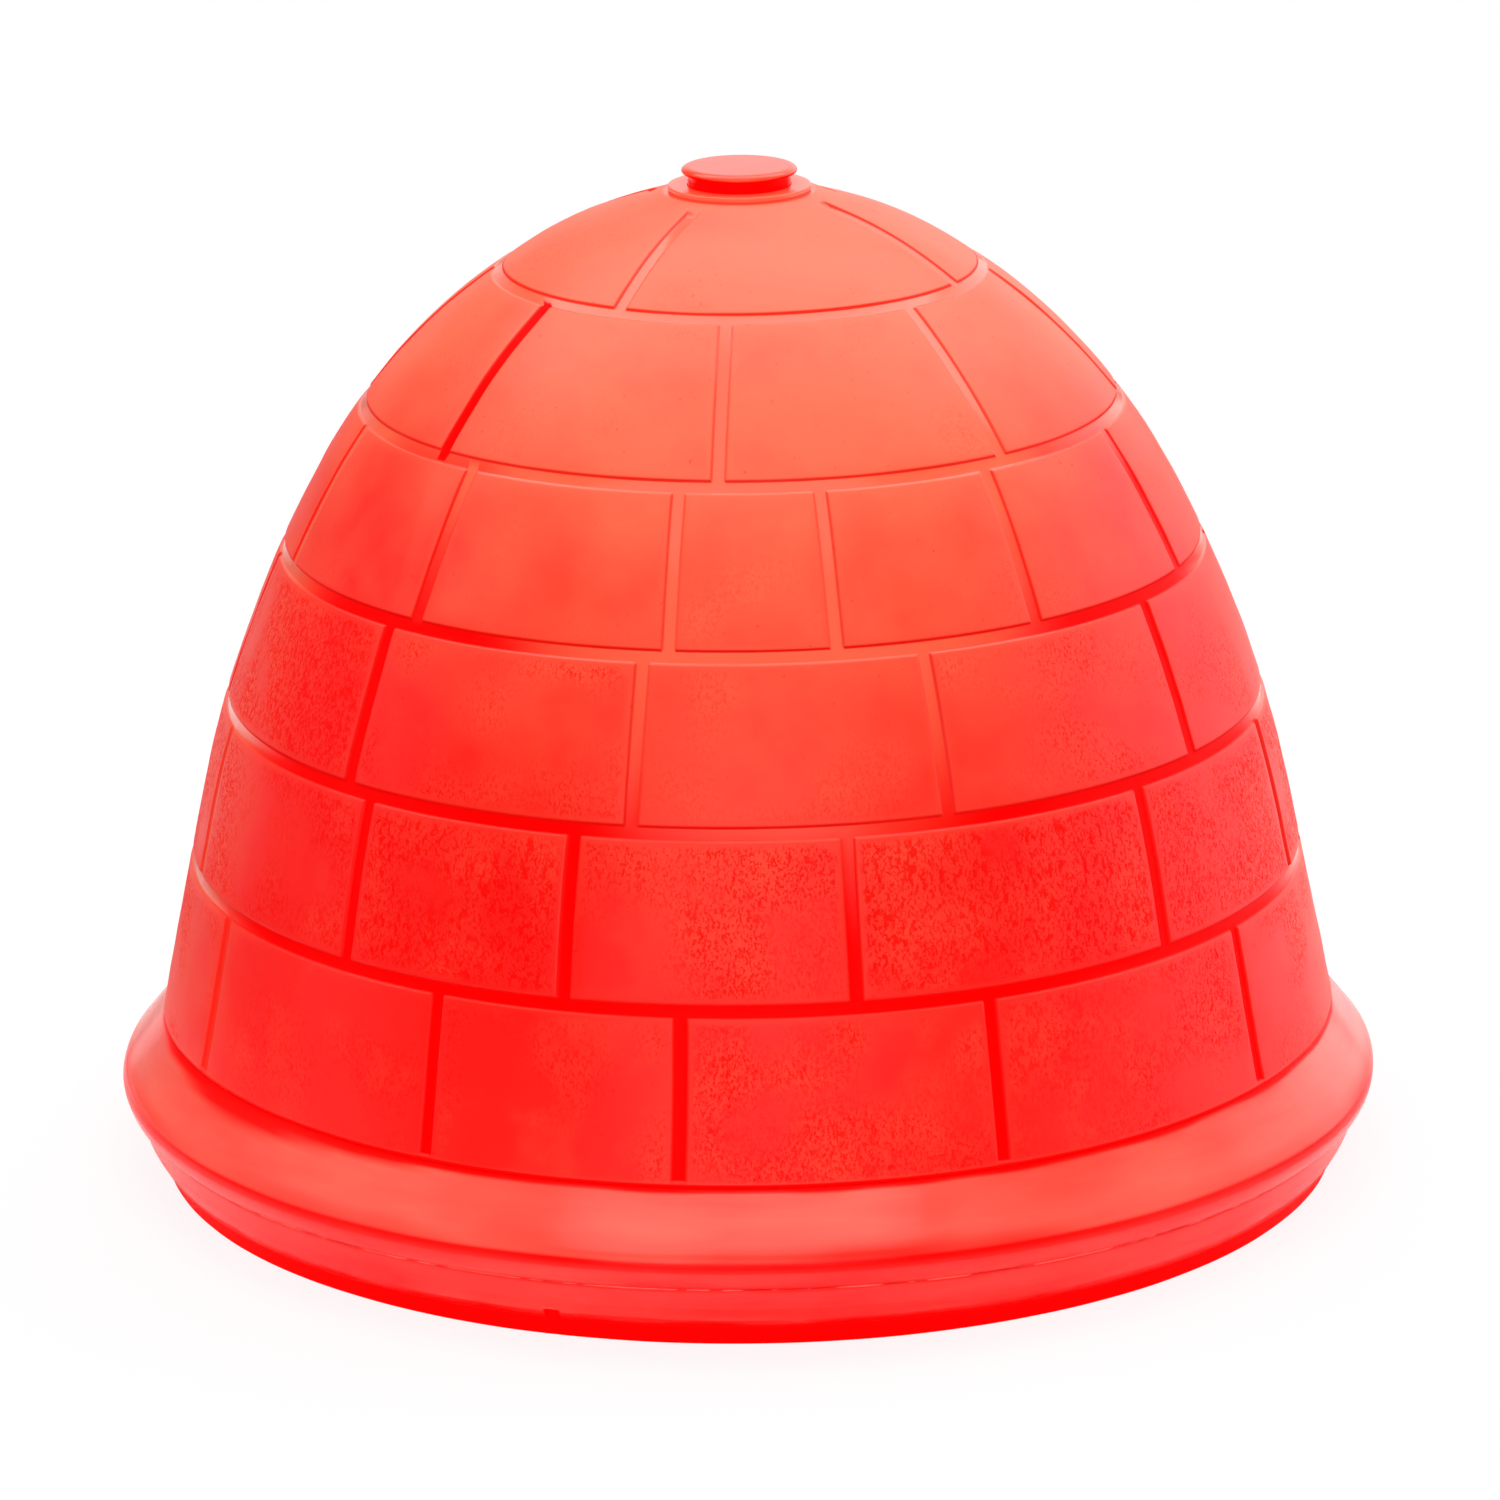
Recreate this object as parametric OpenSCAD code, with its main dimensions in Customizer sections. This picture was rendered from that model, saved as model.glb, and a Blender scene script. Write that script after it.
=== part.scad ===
// Igloo dog house: a round moulded dome of raised blocks that stands on a floor tray.
// Millimetres, +Z up. The origin is on the ground, on the dome's axis. The doorway faces +Y.

/* [Dome] */
// Wall thickness of the moulded shells
wall = 5; // [4:0.5:7]
// Height of the dome's apex above the foot of the lowest course
dome_rise = 719; // [660:1:760]
// Radius of the crown arc, which meets the axis level
crown_radius = 347; // [330:1:365]
// Slope below level at which the crown arc ends, in degrees
crown_slope = 30.8; // [28:0.1:33]
// Radius of the shoulder arc
shoulder_radius = 514; // [490:1:540]
// Slope below level at which the shoulder arc ends, in degrees
shoulder_slope = 60.3; // [58:0.1:62]
// Radius of the flank arc
flank_radius = 1025; // [980:5:1080]
// Slope below level of the straight skirt, in degrees
skirt_slope = 78.2; // [76:0.1:80]

/* [Blocks] */
// Height of one course of blocks, along the slope
course_h = 143.5; // [136:0.5:148]
// Height of the tall course below the crown, along the slope
tall_course_h = 164; // [156:1:168]
// Width of the grooves between blocks
groove_w = 12; // [8:0.5:16]
// How far the blocks stand out of the groove floor
relief = 3.5; // [2.5:0.25:5]
// Height of the closed end below each groove of the lowest course
groove_end = 5; // [3:0.5:10]
// Radius at which the slope round the vent's seat runs into the crown arc
crown_blend_r = 100; // [96:1:110]
// Radius at which the crown's upright grooves start
crown_groove_r = 86; // [83:1:92]
// How far behind the axis the crown's short ring groove starts
back_groove_y = 19; // [10:1:30]

/* [Flange] */
// Height of the rolled flange, from the seam to the foot of the blocks
flange_h = 78; // [70:1:86]
// How far the flange reaches out past the foot of the blocks
flange_reach = 37.5; // [34:0.5:42]
// Radius of the flange's rolled edge
roll_radius = 22; // [21:0.5:25]
// Height of the roll's centre above the seam
roll_rise = 20; // [18.5:0.5:20.5]
// Width of the turned-in rim that the dome stands on
rim_w = 11; // [9:0.5:13]

/* [Base] */
// Height of the seam above the ground
seam_h = 56; // [50:1:64]
// Height of the dog's floor above the ground
floor_h = 40; // [37:0.5:44]
// Height of the recessed foot band
foot_band_h = 17; // [14:0.5:19]
// How far the lip above the foot band stands in from the seam
lip_inset = 13; // [11:0.5:16]
// How far the foot band stands in from the lip
foot_inset = 10; // [8:0.5:12]
// Outward bulge of the outer wall
side_bulge = 2.5; // [1.5:0.5:3.5]
// Width of the level deck inside the spigot
deck_w = 16; // [12:1:24]
// Height of the spigot that centres the dome
spigot_h = 14; // [8:1:20]
// Gap round the spigot
spigot_gap = 0.7; // [0.4:0.1:1.5]
// Clear width between the ribs under the floor
rib_span = 300; // [260:10:380]
// Gap between the ribs and the ground
rib_clear = 3; // [2:0.5:6]
// Height of the grip ridges on the floor
ridge_h = 1.5; // [1:0.25:3]
// Number of rings of grip ridges
ridge_rings = 5; // [3:1:7]
// Width of the moulded weep notches
notch_w = 13; // [8:1:20]
// Height of the door sill above the seam
sill_h = 8; // [6:1:12]
// Gap between the sill and the jambs
sill_gap = 1; // [0.5:0.25:2]

/* [Doorway] */
// Clear width of the doorway
door_w = 330; // [280:5:350]
// Clear height of the doorway above the seam
door_h = 430; // [390:5:440]
// Wall thickness of the porch
porch_wall = 6; // [5:0.5:8]
// Distance from the dome's axis to the porch's front
porch_front = 505; // [498:1:507]
// Width of the rolled edge round the doorway
edge_w = 16; // [12:1:18]
// Thickness of that edge
edge_t = 10; // [8:1:12]

/* [Vent] */
// Radius of the flat seat on the crown
seat_r = 66; // [64.5:0.5:68]
// Radius of the hole through the crown
throat_r = 48; // [46:0.5:50]
// Radius of the collar's flange
collar_r = 61; // [58:0.5:64]
// Thickness of the collar's flange
collar_t = 3.8; // [3:0.2:5]
// Thickness of the gasket under the collar
gasket_t = 1.5; // [1:0.25:2.5]
// Wall of the collar's sleeve
sleeve_wall = 3.5; // [3:0.25:4.5]
// Length of the sleeve below the seat
sleeve_l = 38; // [34:1:44]
// Clearance where the collar sits in the crown and the nut on the collar
seat_gap = 0.3; // [0.2:0.05:0.5]
// Clearance of the cap's neck in the sleeve
slide_gap = 0.3; // [0.2:0.05:0.5]
// Radius of the cap's disc
cap_r = 49.3; // [48.5:0.1:54]
// Thickness of the cap's disc
cap_t = 6; // [5:0.5:8]
// Width of the rounded shoulder on the cap's disc
cap_shoulder = 7; // [4:0.5:10]
// Height of the small round under the disc's edge
cap_lip = 2; // [1.5:0.25:2.5]
// Finger gap between the collar and the closed cap
cap_gap = 10.1; // [8:0.1:14]
// Travel of the cap from closed to open
cap_travel = 22; // [16:1:24]
// Wall of the cap's neck
neck_wall = 3.2; // [2.6:0.2:3.8]
// Number of air windows in the neck
window_count = 8; // [6:1:10]
// Thickness of the seal's round section
seal_d = 3; // [2.4:0.1:3.4]
// Height of the nut below the crown
nut_h = 9; // [7:1:12]
// Radius of the nut
nut_r = 60; // [57:1:63]

/* [Drain] */
// Radius of the drain hole
drain_r = 14; // [10:0.5:18]
// Width of the plug's flange past the hole
plug_rim = 8; // [6:0.5:10]
// Thickness of the plug's flange
plug_t = 3.5; // [3:0.25:4.5]
// Clearance of the plug's stem in the hole
plug_gap = 0.05; // [0.02:0.01:0.1]

/* [Hidden] */

RED = "#f4382b";
RED_LIGHT = "#fb7d6c";
RUBBER = "#3a3434";

$fn = 180;
slack = 1;              // how far cutters run past what they cut
grid = 36;              // spacing of profile points along the dome's slope

// Upright joints of each course, in degrees from the front (-Y), turning towards +X.
// The mould's blocks are uneven, so each joint has its own place. Crown first.
JOINTS = [
    [-119, -29.5, 62.5, 152],
    [-138.5, -94, -50, -3.5, 41.5, 86.5, 131.5, 176.5],
    [-164, -134, -105, -75.5, -43, -9, 11, 37.5, 68, 99, 130, 163],
    [-157, -121, -85.5, -47, -12, 21.5, 56.5, 92, 127, 163],
    [-144, -110, -76.5, -43.5, -18, 10.5, 46, 75, 107, 140],
    [-155, -126, -96, -65, -31.5, -6.5, 24, 57.5, 90, 122, 153]];
NOTCHES = [-18, 162];

// Levels
foot_z = seam_h + flange_h;
apex_z = foot_z + dome_rise;
seat_z = apex_z - relief;

// The dome's outer curve: three arcs that run into each other, then a straight skirt.
function out(a) = [sin(a), cos(a)];
crown_c = [0, apex_z - crown_radius];
shoulder_c = crown_c + (crown_radius - shoulder_radius) * out(crown_slope);
flank_c = shoulder_c + (shoulder_radius - flank_radius) * out(shoulder_slope);
skirt_top = flank_c + flank_radius * out(skirt_slope);
skirt_dir = [cos(skirt_slope), -sin(skirt_slope)];
crown_len = crown_radius * crown_slope * PI / 180;
shoulder_len = shoulder_radius * (shoulder_slope - crown_slope) * PI / 180;
flank_len = flank_radius * (skirt_slope - shoulder_slope) * PI / 180;
arcs_len = crown_len + shoulder_len + flank_len;
foot_s = arcs_len + (skirt_top[1] - foot_z) / sin(skirt_slope);

// The point a length s down the slope from the apex, a depth d inside the curve
function on_dome(s, d) =
    s < crown_len
        ? crown_c + (crown_radius - d) * out(s / crown_radius * 180 / PI)
    : s < crown_len + shoulder_len
        ? shoulder_c + (shoulder_radius - d)
          * out(crown_slope + (s - crown_len) / shoulder_radius * 180 / PI)
    : s < arcs_len
        ? flank_c + (flank_radius - d)
          * out(shoulder_slope + (s - crown_len - shoulder_len) / flank_radius * 180 / PI)
    : skirt_top + (s - arcs_len) * skirt_dir - d * out(skirt_slope);

// Profile points from s0 down to s1, at a depth d, on a shared grid so that skins stay parallel
function slope_pts(s0, s1, d) = concat(
    [on_dome(s0, d)],
    [for (i = [ceil(s0 / grid + 0.1) : floor(s1 / grid - 0.1)]) on_dome(i * grid, d)],
    [on_dome(s1, d)]);
function reversed(list) = [for (i = [len(list) - 1 : -1 : 0]) list[i]];

// The crossing of the line through p along u with the line through q along v
function meet(p, u, q, v) =
    p + u * ((q - p) * [v[1], -v[0]]) / (u * [v[1], -v[0]]);
function oval_pts(c, rx, ry, a0, a1, n) = [for (i = [0 : n]) let (a = a0 + (a1 - a0) * i / n)
    c + [rx * cos(a), ry * sin(a)]];
function arc_pts(c, r, a0, a1, n) = oval_pts(c, r, r, a0, a1, n);

// Courses of blocks: s at the middle of each ring groove, crown first
groove_s = [for (k = [0 : 5]) k == 5 ? foot_s + groove_w / 2
            : foot_s - min(5 - k, 4) * course_h - (k == 0 ? tall_course_h : 0)];
function crown_s(r) = crown_radius * asin(r / crown_radius) * PI / 180;
function course_top(k) = k == 0 ? crown_s(crown_blend_r) : groove_s[k - 1] + groove_w / 2;
function course_end(k) = groove_s[k] - groove_w / 2;
seat_s = crown_s(seat_r + wall);
root = relief + 2;      // how deep a block is rooted in the wall

// Flange: a slope off the foot, run into a rolled edge that turns in to the seam
foot_pt = on_dome(foot_s, relief);
outer_r = on_dome(foot_s, 0)[0] + flange_reach;
roll_c = [outer_r - roll_radius, seam_h + roll_rise];
to_foot = foot_pt - roll_c;
slope_a = atan2(to_foot[1], to_foot[0]) - acos(roll_radius / norm(to_foot));
slope_out = [cos(slope_a), sin(slope_a)];
slope_dir = [-sin(slope_a), cos(slope_a)];
seam_a = -asin(roll_rise / roll_radius);
seam_r = roll_c[0] + roll_radius * cos(seam_a);
inner_roll = roll_radius - wall;
rim_a = -asin((roll_rise - wall) / inner_roll);
rim_in_r = seam_r - rim_w;
inner_foot = meet(on_dome(foot_s, relief + wall), skirt_dir,
                  roll_c + inner_roll * slope_out, slope_dir);

// Base levels and radii
seam_step = 0.8;        // how far the tray's wall stands in under the rim
lip_rise = 4;           // height of the lip above the foot band
floor_cove = 8;         // width of the slope between floor and deck
base_r = seam_r - seam_step;
lip_r = base_r - lip_inset;
foot_r = lip_r - foot_inset;
lip_z = foot_band_h + lip_rise;
spigot_r = rim_in_r - spigot_gap;
deck_in_r = spigot_r - wall - deck_w;
floor_r = deck_in_r - floor_cove;
hub_lap = 3;            // how much thicker than the pan the wall round the drain's well is
hub_drop = 14;          // how far that wall hangs below the pan
hub_r = drain_r + plug_rim + wall + hub_lap;
well_gap = 0.3;         // clearance round the plug's flange
well_r = drain_r + plug_rim + well_gap;
well_drop = 0.5;        // how far the plug's flange lies below the floor

// Doorway: the jambs close the hollow flange on both sides, from just inside its wall
jamb_lap = 3;
jamb_back = sqrt(pow(inner_foot[0], 2) - pow(door_w / 2, 2)) + jamb_lap;

// Vent levels and radii
collar_z = seat_z + gasket_t;
collar_top = collar_z + collar_t;
sleeve_r = throat_r - seat_gap;
bore_r = sleeve_r - sleeve_wall;
sleeve_end = seat_z - sleeve_l;
stop_t = 3;             // thickness of the sleeve's inner stop
stop_w = 4.3;           // how far the stop reaches in
stop_r = bore_r - stop_w;
neck_r = bore_r - slide_gap;
neck_end = sleeve_end + stop_t + slide_gap;
cap_z = collar_top + cap_gap;
seal_side = 4;          // material on each side of the seal's groove
seal_slack = 0.4;       // how much wider than the seal its groove is
band_h = seal_d + 2 * seal_side;    // band at the neck's foot, which carries seal and legs
band_t = 7;             // thickness of that band
band_in = neck_r - band_t;
seal_z = neck_end + band_h / 2;
seal_c = bore_r - 0.05 - seal_d / 2;
leg_r = stop_r - 0.5;
leg_t = 3;
leg_w = 16;
hook_w = 3;             // how far the legs' hooks reach out under the stop
hook_h = 4;
hook_top = sleeve_end - cap_travel - slide_gap;
window_bar = 5;         // wall left above and below the air windows
window_h = cap_travel - window_bar;
window_drop = 3;        // how far below the collar's top the windows end when closed
window_top = collar_top - window_drop;
nut_wing_w = 14;
nut_wing_step = 1.5;    // how much lower than the nut its wings are

module ring(r_out, r_in, h) {
    difference() {
        cylinder(h = h, r = r_out);
        translate([0, 0, -slack]) cylinder(h = h + 2 * slack, r = r_in);
    }
}

// A bar that runs out from the axis at an angle from the front (-Y)
module spoke(angle, width, r0, r1, z0, z1) {
    rotate([0, 0, angle - 90]) translate([r0, -width / 2, z0])
        cube([r1 - r0, width, z1 - z0]);
}

// A round-headed doorway outline, carried along Y
module arch(w, h, y0, y1, z0 = seam_h) {
    translate([0, y1, z0]) rotate([90, 0, 0]) linear_extrude(y1 - y0) union() {
        translate([-w / 2, 0]) square([w, h - w / 2]);
        translate([0, h - w / 2]) circle(d = w);
    }
}

// Dome without blocks, seat or doorway, filled
module dome_form() {
    rotate_extrude() polygon(concat(
        [[0, seam_h], [0, seat_z - relief], [seat_r, seat_z - relief]],
        slope_pts(seat_s, foot_s, relief),
        arc_pts(roll_c, roll_radius, slope_a, seam_a, 10)));
}

// The space inside the shell, with the flange's hollow and the turned-in rim
module dome_space() {
    rotate_extrude() polygon(concat(
        [[0, seam_h - slack], [0, seat_z - wall], [seat_r - 1, seat_z - wall]],
        slope_pts(seat_s, foot_s - wall, relief + wall),
        [inner_foot],
        arc_pts(roll_c, inner_roll, slope_a, rim_a, 6),
        [[rim_in_r, seam_h + wall], [rim_in_r, seam_h - slack]]));
}

// One course: a raised ring, parted into blocks by upright grooves. The crown's ring carries
// the vent's seat, and its grooves stop short of it.
module course(k) {
    s0 = course_top(k);
    s1 = course_end(k);
    end_z = k == 5 ? on_dome(s1, 0)[1] + groove_end : 0;
    seat = [[throat_r - wall, seat_z], [seat_r, seat_z]];
    difference() {
        rotate_extrude() polygon(concat(
            k == 0 ? seat : [],
            slope_pts(s0, s1, 0),
            reversed(slope_pts(k == 0 ? seat_s : s0, s1, root)),
            k == 0 ? [for (p = reversed(seat)) p - [p[0] == seat_r ? 1 : 0, root]] : []));
        for (a = JOINTS[k])
            spoke(a, groove_w, k == 0 ? crown_groove_r : 0, outer_r, end_z, apex_z + slack);
        if (k == 0) back_groove();
    }
}

// Ring groove that joins the crown's upright grooves behind the vent
module back_groove() {
    reach = crown_groove_r + slack;
    translate([0, 0, foot_z]) intersection() {
        ring(reach, crown_groove_r - groove_w, dome_rise);
        translate([-reach, back_groove_y, 0]) cube([2 * reach, reach, dome_rise]);
    }
}

module blocks() {
    difference() {
        for (k = [0 : 5]) course(k);
        arch(door_w + 2 * (edge_w + groove_w), door_h + edge_w + groove_w, 0, outer_r);
    }
}

// Rotationally moulded dome with its flange, blocks and porch
module dome_shell() {
    color(RED) difference() {
        union() {
            dome_form();
            blocks();
            arch(door_w + 2 * porch_wall, door_h + porch_wall, door_w / 2, porch_front - edge_t / 2);
            arch(door_w + 2 * edge_w, door_h + edge_w, porch_front - edge_t, porch_front);
        }
        difference() {
            dome_space();
            arch(door_w + 2 * porch_wall, door_h + porch_wall, jamb_back, outer_r);
        }
        arch(door_w, door_h + slack, door_w / 2, outer_r + slack, seam_h - slack);
        translate([0, 0, seat_z - 2 * wall]) cylinder(h = 3 * wall, r = throat_r);
    }
}

// Floor tray: the pan with its drain, grip ridges, ribs and sill
module base_tray() {
    color(RED) {
        difference() {
            union() {
                pan();
                translate([0, 0, floor_h - wall - hub_drop])
                    cylinder(h = wall + hub_drop, r = hub_r);
                floor_ribs();
                floor_ridges();
            }
            translate([0, 0, floor_h - plug_t - well_drop]) cylinder(h = 2 * wall, r = well_r);
            translate([0, 0, floor_h - wall - hub_drop - slack])
                cylinder(h = hub_drop + 2 * wall, r = drain_r);
            arch(door_w + 2 * edge_w + 2 * spigot_gap, door_h, door_w, outer_r);
            for (a = NOTCHES) spoke(a, notch_w, foot_r + wall, outer_r, -slack, lip_z + 6);
        }
        door_sill();
    }
}

// Moulded pan: a floor, a deck with the spigot, an outer wall below the seam and a foot band
module pan() {
    side_run = [lip_inset, seam_h - lip_z];
    side_out = [side_run[1], -side_run[0]] / norm(side_run);
    side = [for (t = [0 : 0.25 : 1]) [base_r, seam_h] - t * side_run
            + 4 * side_bulge * t * (1 - t) * side_out];
    rotate_extrude() polygon(concat(
        [[0, floor_h - wall], [0, floor_h], [floor_r, floor_h], [deck_in_r, seam_h],
         [spigot_r - wall, seam_h], [spigot_r - wall, seam_h + spigot_h],
         [spigot_r, seam_h + spigot_h], [spigot_r, seam_h]],
        side,
        [[lip_r - 1.5, foot_band_h + 1], [foot_r + 1, foot_band_h], [foot_r, 0],
         [foot_r - wall, 0], [foot_r - wall, lip_z], [lip_r - wall, lip_z + 2 * wall],
         [base_r - wall - 1, seam_h - wall], [deck_in_r + 2, seam_h - wall],
         [floor_r + 2, floor_h - wall]]));
}

// Sill that carries the flange's outline across the doorway, between the jambs
module door_sill() {
    top = seam_h + sill_h;
    nose = sill_h / 2;
    intersection() {
        rotate_extrude() polygon([
            [deck_in_r + wall, seam_h - wall / 2], [spigot_r - wall, top], [outer_r - nose, top],
            [outer_r, top - nose], [outer_r, seam_h], [outer_r - nose, seam_h - nose],
            [base_r - wall / 2, seam_h - sill_h]]);
        arch(door_w - 2 * sill_gap, door_h, door_w, outer_r + slack, seam_h - 2 * sill_h);
    }
}

// Crossed ribs under the floor, which carry the dog's weight
module floor_ribs() {
    rib_t = wall - 1;
    rib_l = sqrt(pow(foot_r - wall / 2, 2) - pow(rib_span / 2 + rib_t, 2));
    for (a = [0 : 90 : 270])
        rotate([0, 0, a]) translate([rib_span / 2, -rib_l, rib_clear])
            cube([rib_t, 2 * rib_l, floor_h - wall / 2 - rib_clear]);
}

// Low rings on the floor that keep bedding from sliding
module floor_ridges() {
    pitch = (floor_r - hub_r) / (ridge_rings + 1);
    for (i = [1 : ridge_rings])
        translate([0, 0, floor_h - wall / 2])
            ring(hub_r + i * pitch, hub_r + i * pitch - wall, wall / 2 + ridge_h);
}

// Collar: a flat ring on the crown and a sleeve through it, with a stop at its lower end
module vent_collar() {
    color(RED_LIGHT) rotate_extrude() polygon([
        [bore_r, collar_top], [collar_r - 1, collar_top], [collar_r, collar_top - 1],
        [collar_r, collar_z], [sleeve_r, collar_z], [sleeve_r, sleeve_end],
        [stop_r, sleeve_end], [stop_r, sleeve_end + stop_t], [bore_r, sleeve_end + stop_t]]);
}

// Soft washer between the collar and the crown
module collar_gasket() {
    color(RUBBER) translate([0, 0, seat_z]) ring(collar_r - 0.6, throat_r, gasket_t);
}

// Winged nut that clamps the collar from inside
module vent_nut() {
    wing = nut_r - throat_r - 4;
    color(RED) translate([0, 0, seat_z - wall - nut_h]) difference() {
        union() {
            cylinder(h = nut_h, r = nut_r - wing / 2);
            for (i = [0 : 5])
                spoke(i * 60, nut_wing_w, throat_r, nut_r, 0, nut_h - nut_wing_step);
        }
        translate([0, 0, -slack]) cylinder(h = nut_h + 2 * slack, r = sleeve_r + seat_gap);
    }
}

// Cap: a disc on a hollow neck, with air windows, four snap legs and a groove for the seal
module vent_cap() {
    edge_z = cap_z + cap_lip;
    color(RED_LIGHT) difference() {
        union() {
            rotate_extrude() polygon(concat(
                [[0, cap_z], [0, cap_z + cap_t]],
                oval_pts([cap_r - cap_shoulder, edge_z], cap_shoulder, cap_t - cap_lip, 90, 0, 8),
                oval_pts([cap_r - cap_lip, edge_z], cap_lip, cap_lip, -22.5, -90, 3)));
            translate([0, 0, neck_end]) ring(neck_r, neck_r - neck_wall, cap_z - neck_end + 1);
            translate([0, 0, neck_end]) ring(neck_r - 0.5, band_in, band_h);
            snap_legs();
        }
        for (i = [0 : window_count - 1])
            spoke((i + 0.5) * 360 / window_count, 2 * PI * neck_r / window_count * 0.6,
                  band_in - slack, neck_r + slack, window_top - window_h, window_top);
        translate([0, 0, seal_z - (seal_d + seal_slack) / 2])
            ring(neck_r + slack, seal_c - seal_d / 2 - 0.05, seal_d + seal_slack);
    }
}

// Legs that hang through the sleeve's stop and catch under it when the cap is open
module snap_legs() {
    intersection() {
        for (a = [0, 90]) rotate([0, 0, a])
            translate([-neck_r, -leg_w / 2, hook_top - hook_h])
                cube([2 * neck_r, leg_w, neck_end + band_h - hook_top + hook_h - 1]);
        rotate_extrude() polygon([
            [leg_r - leg_t, hook_top - hook_h], [leg_r, hook_top - hook_h],
            [leg_r + hook_w, hook_top - 1], [leg_r + hook_w, hook_top], [leg_r, hook_top],
            [leg_r, neck_end], [band_in + 1.5, neck_end], [band_in + 1.5, neck_end + band_h - 1],
            [leg_r - leg_t, neck_end + band_h - 1]]);
    }
}

// Round seal in the neck's groove, whose rub holds the cap where it is put
module cap_seal() {
    color(RUBBER) rotate_extrude() translate([seal_c, seal_z]) circle(d = seal_d, $fn = 24);
}

// Bung in the floor's drain, with a bar to pull it by
module drain_plug() {
    bar = [2 * drain_r, 6, 8];
    color(RUBBER) union() {
        translate([0, 0, floor_h - plug_t - well_drop])
            cylinder(h = plug_t, r = well_r - well_gap);
        translate([0, 0, floor_h - wall - hub_drop + slack])
            cylinder(h = hub_drop, r = drain_r - plug_gap);
        translate([-bar[0] / 2, -bar[1] / 2, floor_h - plug_t]) cube(bar);
    }
}

base_tray();
dome_shell();
vent_collar();
collar_gasket();
vent_nut();
vent_cap();
cap_seal();
drain_plug();
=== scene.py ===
"""Looks for the igloo dog house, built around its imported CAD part.

All surfaces are worked out in millimetres and handed to Blender in metres. +Z is up, -Y is the
front and the doorway faces +Y. Azimuths are measured from -Y, turning towards +X.
"""

import math

import bpy
import numpy as np
from mathutils import Matrix, Vector


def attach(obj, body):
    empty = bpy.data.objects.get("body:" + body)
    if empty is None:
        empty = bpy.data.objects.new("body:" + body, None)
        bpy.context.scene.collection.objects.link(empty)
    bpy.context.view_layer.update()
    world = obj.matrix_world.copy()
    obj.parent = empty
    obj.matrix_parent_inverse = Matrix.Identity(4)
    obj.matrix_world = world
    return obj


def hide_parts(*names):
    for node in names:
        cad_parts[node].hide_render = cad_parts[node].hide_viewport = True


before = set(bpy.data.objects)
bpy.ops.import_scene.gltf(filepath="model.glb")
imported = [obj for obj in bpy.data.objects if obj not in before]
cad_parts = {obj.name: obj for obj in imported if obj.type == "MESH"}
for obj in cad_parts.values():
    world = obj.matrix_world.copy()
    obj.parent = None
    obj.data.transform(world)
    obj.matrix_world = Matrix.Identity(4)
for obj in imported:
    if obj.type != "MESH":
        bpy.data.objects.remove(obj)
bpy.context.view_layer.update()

# ---------------------------------------------------------------- sizes, as in the CAD part

WALL = 5.0
RELIEF = 3.5
GROOVE = 12.0
COURSE_H = 143.5
TALL_COURSE_H = 164.0
APEX_Z = 853.0
FOOT_Z = 134.0
SEAT_Z = APEX_Z - RELIEF
SEAT_R = 66.0
CROWN_BLEND_R = 100.0
CROWN_GROOVE_R = 86.0
CROWN_FADE_R = CROWN_GROOVE_R - 6.0
BACK_GROOVE_Y = 19.0
THROAT_R = 48.0
SEAM_Z = 56.0
ROLL_R = 22.0
ROLL_RISE = 20.0
REACH = 37.5
RIM_W = 11.0
DOOR_W = 330.0
DOOR_H = 430.0
PORCH_WALL = 6.0
PORCH_FRONT = 505.0
EDGE_W = 16.0
EDGE_T = 10.0
FLOOR_Z = 40.0
HALF_DOOR = DOOR_W / 2
SPRING_Z = SEAM_Z + DOOR_H - HALF_DOOR
INSIDE = RELIEF + WALL      # how deep the dome's inner face lies under its outer curve
NO_DOOR = 1000.0            # stands for the distance from a doorway where there is none
MM = 0.001                  # a millimetre in Blender's metres

# Azimuths in degrees of each course's upright grooves, from the crown down, and of the tray's
# weep notches.
JOINTS = [
    [-119, -29.5, 62.5, 152],
    [-138.5, -94, -50, -3.5, 41.5, 86.5, 131.5, 176.5],
    [-164, -134, -105, -75.5, -43, -9, 11, 37.5, 68, 99, 130, 163],
    [-157, -121, -85.5, -47, -12, 21.5, 56.5, 92, 127, 163],
    [-144, -110, -76.5, -43.5, -18, 10.5, 46, 75, 107, 140],
    [-155, -126, -96, -65, -31.5, -6.5, 24, 57.5, 90, 122, 153],
]
NOTCHES = [-18.0, 162.0]
LAST = len(JOINTS) - 1

# The slope is three arcs that share tangents, then a straight skirt.
ARC_R = (347.0, 514.0, 1025.0)
ARC_END = tuple(math.radians(a) for a in (30.8, 60.3, 78.2))


def toward(a):
    """The direction, as radius and height, at angle a from straight up."""
    return np.array([math.sin(a), math.cos(a)])


CENTRES = [np.array([0.0, APEX_Z - ARC_R[0]])]
for inner, outer, end in zip(ARC_R, ARC_R[1:], ARC_END):
    CENTRES.append(CENTRES[-1] + (inner - outer) * toward(end))
ARC_LEN = np.cumsum(
    [r * (b - a) for r, a, b in zip(ARC_R, (0.0,) + ARC_END, ARC_END)])
SKIRT_TOP = CENTRES[2] + ARC_R[2] * toward(ARC_END[2])
FOOT_S = ARC_LEN[2] + (SKIRT_TOP[1] - FOOT_Z) / math.sin(ARC_END[2])
RING_S = [FOOT_S - 4 * COURSE_H - TALL_COURSE_H] + [
    FOOT_S - n * COURSE_H for n in (4, 3, 2, 1)]


def crown_s(r):
    """Arc length from the apex to radius r on the crown's arc."""
    return ARC_R[0] * math.asin(r / ARC_R[0])


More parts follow.
